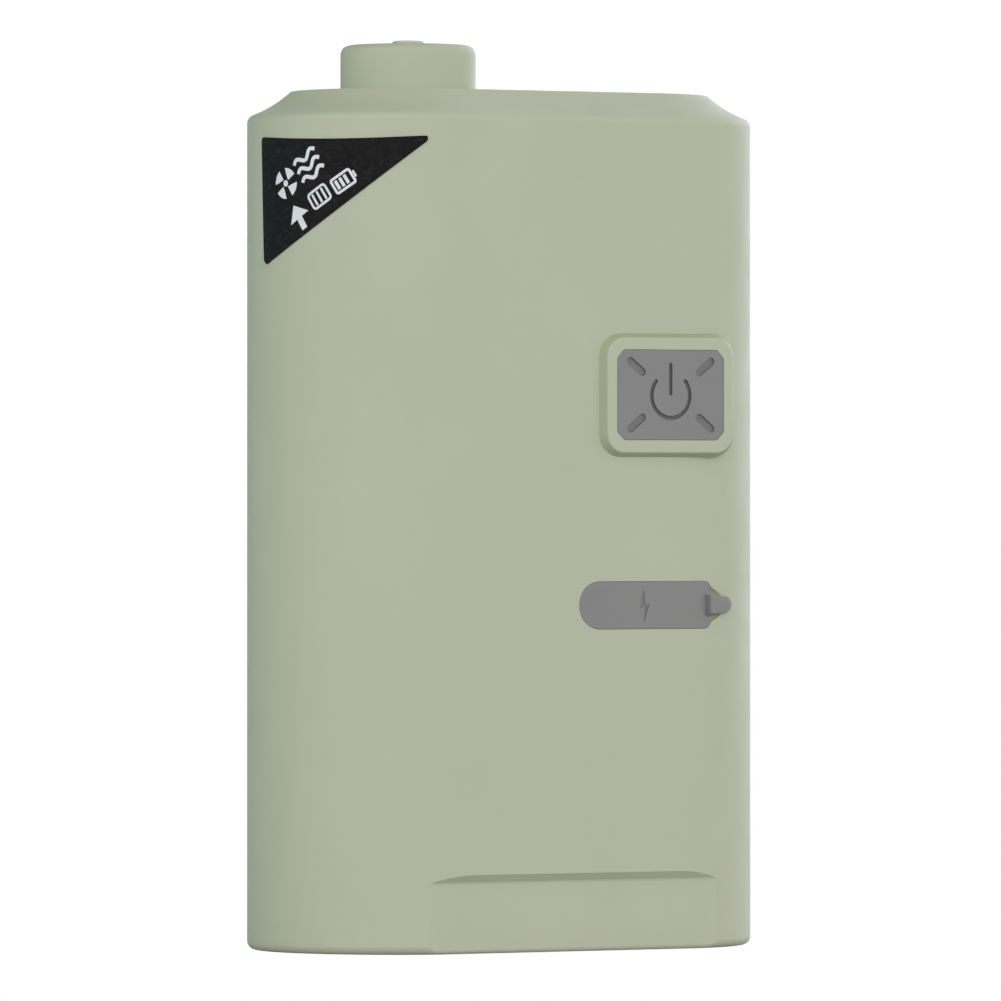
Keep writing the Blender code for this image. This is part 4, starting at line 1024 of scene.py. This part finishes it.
def film(name, outlines, stand, thick, mat):
    """Thin closed pieces with these flat outlines, in millimetres, wrapped round the casing's end."""
    bm = bmesh.new()
    for outline in outlines:
        bm.faces.new([bm.verts.new((x * MM, y * MM, 0)) for x, y in outline])
    reach = max(v.co.x for v in bm.verts)
    strip = 0.6 * MM  # narrow enough for flat strips to follow the round end
    x = strip
    while x < reach:
        geometry = bm.verts[:] + bm.edges[:] + bm.faces[:]
        bmesh.ops.bisect_plane(bm, geom=geometry, plane_co=(x, 0, 0), plane_no=(1, 0, 0), dist=1e-7)
        x += strip
    raised = bmesh.ops.extrude_face_region(bm, geom=bm.faces[:])["geom"]
    raised = [v for v in raised if isinstance(v, bmesh.types.BMVert)]
    bmesh.ops.translate(bm, verts=raised, vec=(0, 0, thick))
    wrap(bm, stand)
    obj = make(name, bm, mat)
    obj.data.set_sharp_from_angle(angle=CREASE_ANGLE)
    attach(obj, "casing")
    return obj


def line(points, width):
    """The outline of a line of this width through points, with square ends."""
    left, right = [], []
    for i, p in enumerate(points):
        a = Vector(points[max(0, i - 1)])
        b = Vector(points[min(len(points) - 1, i + 1)])
        along = (b - a).normalized()
        side = Vector((-along.y, along.x)) * width / 2
        left.append(tuple(Vector(p) + side))
        right.append(tuple(Vector(p) - side))
    return left + right[::-1]


def frame_of(width, height, corner, stroke):
    """A rounded rectangular ring, as two halves."""
    outer = rounded_rectangle((width, height), corner, 3)
    inner = rounded_rectangle((width - 2 * stroke, height - 2 * stroke), max(0.05, corner - stroke), 3)
    half = len(outer) // 2
    first = outer[: half + 1] + inner[: half + 1][::-1]
    second = outer[half:] + outer[:1] + inner[:1] + inner[half:][::-1]
    return [first, second]


# The marks on the label: each is a list of outlines about its own middle, in millimetres, Y up.


def waves():
    """Moving air: three wavy lines of one and a half waves each."""
    half, apart, swing, width = 2, 1.35, 0.42, 0.52
    wave = [(-half + 2 * half * t, swing * math.sin(t * 3 * math.pi)) for t in shares(16)]
    return [line([(x, y + k * apart) for x, y in wave], width) for k in (-1, 0, 1)]


def rotor_mark():
    """A fan: four blades round a hub."""
    blades = []
    for k in range(4):
        turn = Matrix.Rotation(math.pi / 2 * k, 2)
        petal = arc((0.0, 0.0), 2.1, 5, 62, 6) + [(0.75, 0.95), (0.62, 0.12)]
        blades.append([tuple(turn @ Vector(p)) for p in petal])
    return [*blades, arc((0, 0), 0.45, 0, 336, 14)]


def arrow():
    """The way that the air leaves: an arrow upwards."""
    right = [(0.55, -2.1), (0.55, -0.1), (2.1, -0.1)]
    left = [(-x, y) for x, y in reversed(right)]
    return [[*right, (0, 2.2), *left]]


def pad():
    """A mattress: a rounded frame with three upright bars."""
    bars = [line([(x, -1.05), (x, 1.05)], 0.42) for x in (-1.0, 0.0, 1.0)]
    return [*frame_of(4.2, 3.2, 0.7, 0.42), *bars]


def cell():
    """A charged battery: a frame with three bars and a knob."""
    bars = [line([(x, -0.75), (x, 0.75)], 0.52) for x in (-1.05, -0.2, 0.65)]
    knob = [(2.02, -0.55), (2.35, -0.55), (2.35, 0.55), (2.02, 0.55)]
    return [*frame_of(3.9, 2.7, 0.45, 0.40), *bars, knob]


def label_outline():
    """The label laid flat, in millimetres: X along it and Y down. Its slanted edge lies in one flat
    plane that LABEL_FACING lies in too, and its top edge sags a little."""
    length, drop = END_RADIUS * (LABEL_END - LABEL_START) / MM, LABEL_DROP / MM
    sag, fall, tip = 0.6, 0.2, 1.15
    blunt, cut_off, lean = 2.0, 0.75, 0.95  # the low corner's width, its far side's height and place
    top = [(length * t, sag * math.sin(math.pi * t) + fall * t) for t in shares(40)]
    last = LABEL_START + blunt * MM / END_RADIUS
    angles = [LABEL_END + (last - LABEL_END) * t for t in shares(40)]
    reach = [math.sin(angle - LABEL_FACING) for angle in angles]
    slant = []
    for angle, r in zip(angles, reach):
        down = (r - reach[0]) / (reach[-1] - reach[0])
        slant.append(((angle - LABEL_START) * END_RADIUS / MM, tip + (drop - tip) * down))
    return top + slant + [(lean, drop - cut_off)]


def label():
    """The black film and the marks printed on it."""
    outline, soft, first = label_outline(), 0.42, 1.1
    sides = [neighbours(outline, i) for i in range(len(outline))]
    reach = [0 if before.dot(after) < -0.95 else soft for before, after in sides]  # sharp ones only
    outline = eased(outline, [first, *reach[1:]], 5)
    backing = film("label_film", [outline], 0.06 * MM, 0.09 * MM, FILM)
    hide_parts("corner_label")
    turn = Matrix.Rotation(-math.radians(LABEL_TILT), 2)
    places = (  # each with its middle on the label and its scale
        (rotor_mark, (8.1, 8.9), 1.38),
        (waves, (13.8, 5.7), 1.42),
        (arrow, (11.6, 15.3), 1.2),
        (pad, (16.2, 11.5), 1.12),
        (cell, (21.1, 8.7), 1.22),
    )
    marks = []
    for mark, at, scale in places:
        for outline in mark():
            placed = [turn @ (Vector((x, -y)) * scale) + Vector(at) for x, y in outline]
            marks.append([tuple(p) for p in placed])
    film("label_print", marks, 0.15 * MM, 0.012 * MM, PRINT)


# ---------- stage, light and camera


CAMERA_TURN = math.radians(31)  # how far round from the front the camera stands
CAMERA_DISTANCE, CAMERA_HEIGHT = 2.08, 84.72 * MM
SENSOR_WIDTH, LENS, CAMERA_SHIFT = 36, 393.8, 0.00038
FLOOR_RETURN = 0.60  # the floor's own grey, which the camera sees as white
FLOOR_RADIUS, FLOOR_DROP = 30, 0.05 * MM  # the drop keeps its face apart from the base's
BACKGROUND_SEEN = 1.05  # what the camera sees behind the object, just past white


def stage():
    """A wide pale floor, which lights the object softly and shows as plain white."""
    bm = bmesh.new()
    bmesh.ops.create_circle(bm, cap_ends=True, segments=64, radius=FLOOR_RADIUS)
    bmesh.ops.translate(bm, verts=bm.verts, vec=(0, 0, -FLOOR_DROP))
    floor = make("floor", bm)
    look = Look("pale floor", (FLOOR_RETURN,) * 3, 0.9)
    look.set("Specular IOR Level", 0.0)
    white = look.node("ShaderNodeEmission", {"Color": (1, 1, 1, 1), "Strength": 1.0})
    path = look.node("ShaderNodeLightPath")
    shown = look.node(
        "ShaderNodeMixShader",
        {0: path.outputs["Is Camera Ray"], 1: look.shader.outputs[0], 2: white.outputs[0]},
    )
    look.tree.links.new(shown.outputs[0], look.tree.nodes["Material Output"].inputs["Surface"])
    floor.data.materials.append(look.mat)


LEVEL_LIGHT, TOP_LIGHT = 2.43, 0.20  # the room's brightness at eye level and overhead
ROOM = [  # degrees round from the camera, towards its right, and the light from there
    (-180, (0.70, 0.72, 0.72)),
    (-163, (0.03, 0.11, 0.13)),
    (-102, (0.09, 0.25, 0.21)),
    (-80, (1.00, 1.02, 0.99)),
    (0, (1.00, 0.99, 0.985)),
    (70, (0.97, 0.96, 0.935)),
    (92, (0.89, 0.88, 0.86)),
    (104, (0.50, 0.50, 0.48)),
    (126, (0.84, 0.84, 0.80)),
    (152, (1.52, 1.52, 1.74)),
    (180, (0.70, 0.72, 0.72)),
]


def world():
    """A pale room lit from eye level, darker overhead, behind and to the left of the object."""
    made = bpy.data.worlds.new("studio")
    bpy.context.scene.world = made
    made.use_nodes = True
    tree = made.node_tree
    where = add_node(tree, "ShaderNodeTexCoord").outputs["Generated"]
    turned_by = (0, 0, math.radians(90) + CAMERA_TURN)
    inputs = {"Vector": where, "Rotation": turned_by}
    turn = add_node(tree, "ShaderNodeMapping", inputs, vector_type="VECTOR").outputs["Vector"]
    inputs = {"Vector": turn}
    round_room = add_node(tree, "ShaderNodeTexGradient", inputs, gradient_type="RADIAL")
    ramp = add_node(tree, "ShaderNodeValToRGB", {"Fac": round_room.outputs["Fac"]})
    stops = ramp.color_ramp.elements
    for i, (angle, colour) in enumerate(ROOM):
        share = angle / 360 + 0.5
        stop = stops[0] if i == 0 else stops.new(share) if i < len(ROOM) - 1 else stops[-1]
        stop.position, stop.color = share, (*colour, 1)
    upwards = add_node(tree, "ShaderNodeSeparateXYZ", {0: turn}).outputs["Z"]
    inputs = {"Value": upwards, "To Min": LEVEL_LIGHT, "To Max": TOP_LIGHT}
    dim = add_node(tree, "ShaderNodeMapRange", inputs)
    back = tree.nodes["Background"]
    tree.links.new(ramp.outputs["Color"], back.inputs["Color"])
    tree.links.new(dim.outputs["Result"], back.inputs["Strength"])
    inputs = {"Color": (1, 1, 1, 1), "Strength": BACKGROUND_SEEN}
    seen = add_node(tree, "ShaderNodeBackground", inputs)
    path = add_node(tree, "ShaderNodeLightPath")
    inputs = {0: path.outputs["Is Camera Ray"], 1: back.outputs[0], 2: seen.outputs[0]}
    mix = add_node(tree, "ShaderNodeMixShader", inputs)
    tree.links.new(mix.outputs[0], tree.nodes["World Output"].inputs["Surface"])


def camera():
    """A long lens level with the object's middle, at the photograph's angle."""
    data = bpy.data.cameras.new("camera")
    obj = bpy.data.objects.new("camera", data)
    bpy.context.scene.collection.objects.link(obj)
    away = Vector((-math.sin(CAMERA_TURN), -math.cos(CAMERA_TURN), 0)) * CAMERA_DISTANCE
    obj.location = away + Vector((0, 0, CAMERA_HEIGHT))
    obj.rotation_euler = (math.pi / 2, 0, -CAMERA_TURN)
    data.sensor_width, data.lens, data.shift_x = SENSOR_WIDTH, LENS, CAMERA_SHIFT
    data.clip_start, data.clip_end = 0.05, 100
    bpy.context.scene.camera = obj


dress_nodes()
casing()
button()
port_cover()
nozzle()
valve_pin()
base()
suction_collar()
suction_grille()
base_screws()
label()
stage()
world()
camera()
bpy.context.scene.view_settings.view_transform = "Standard"
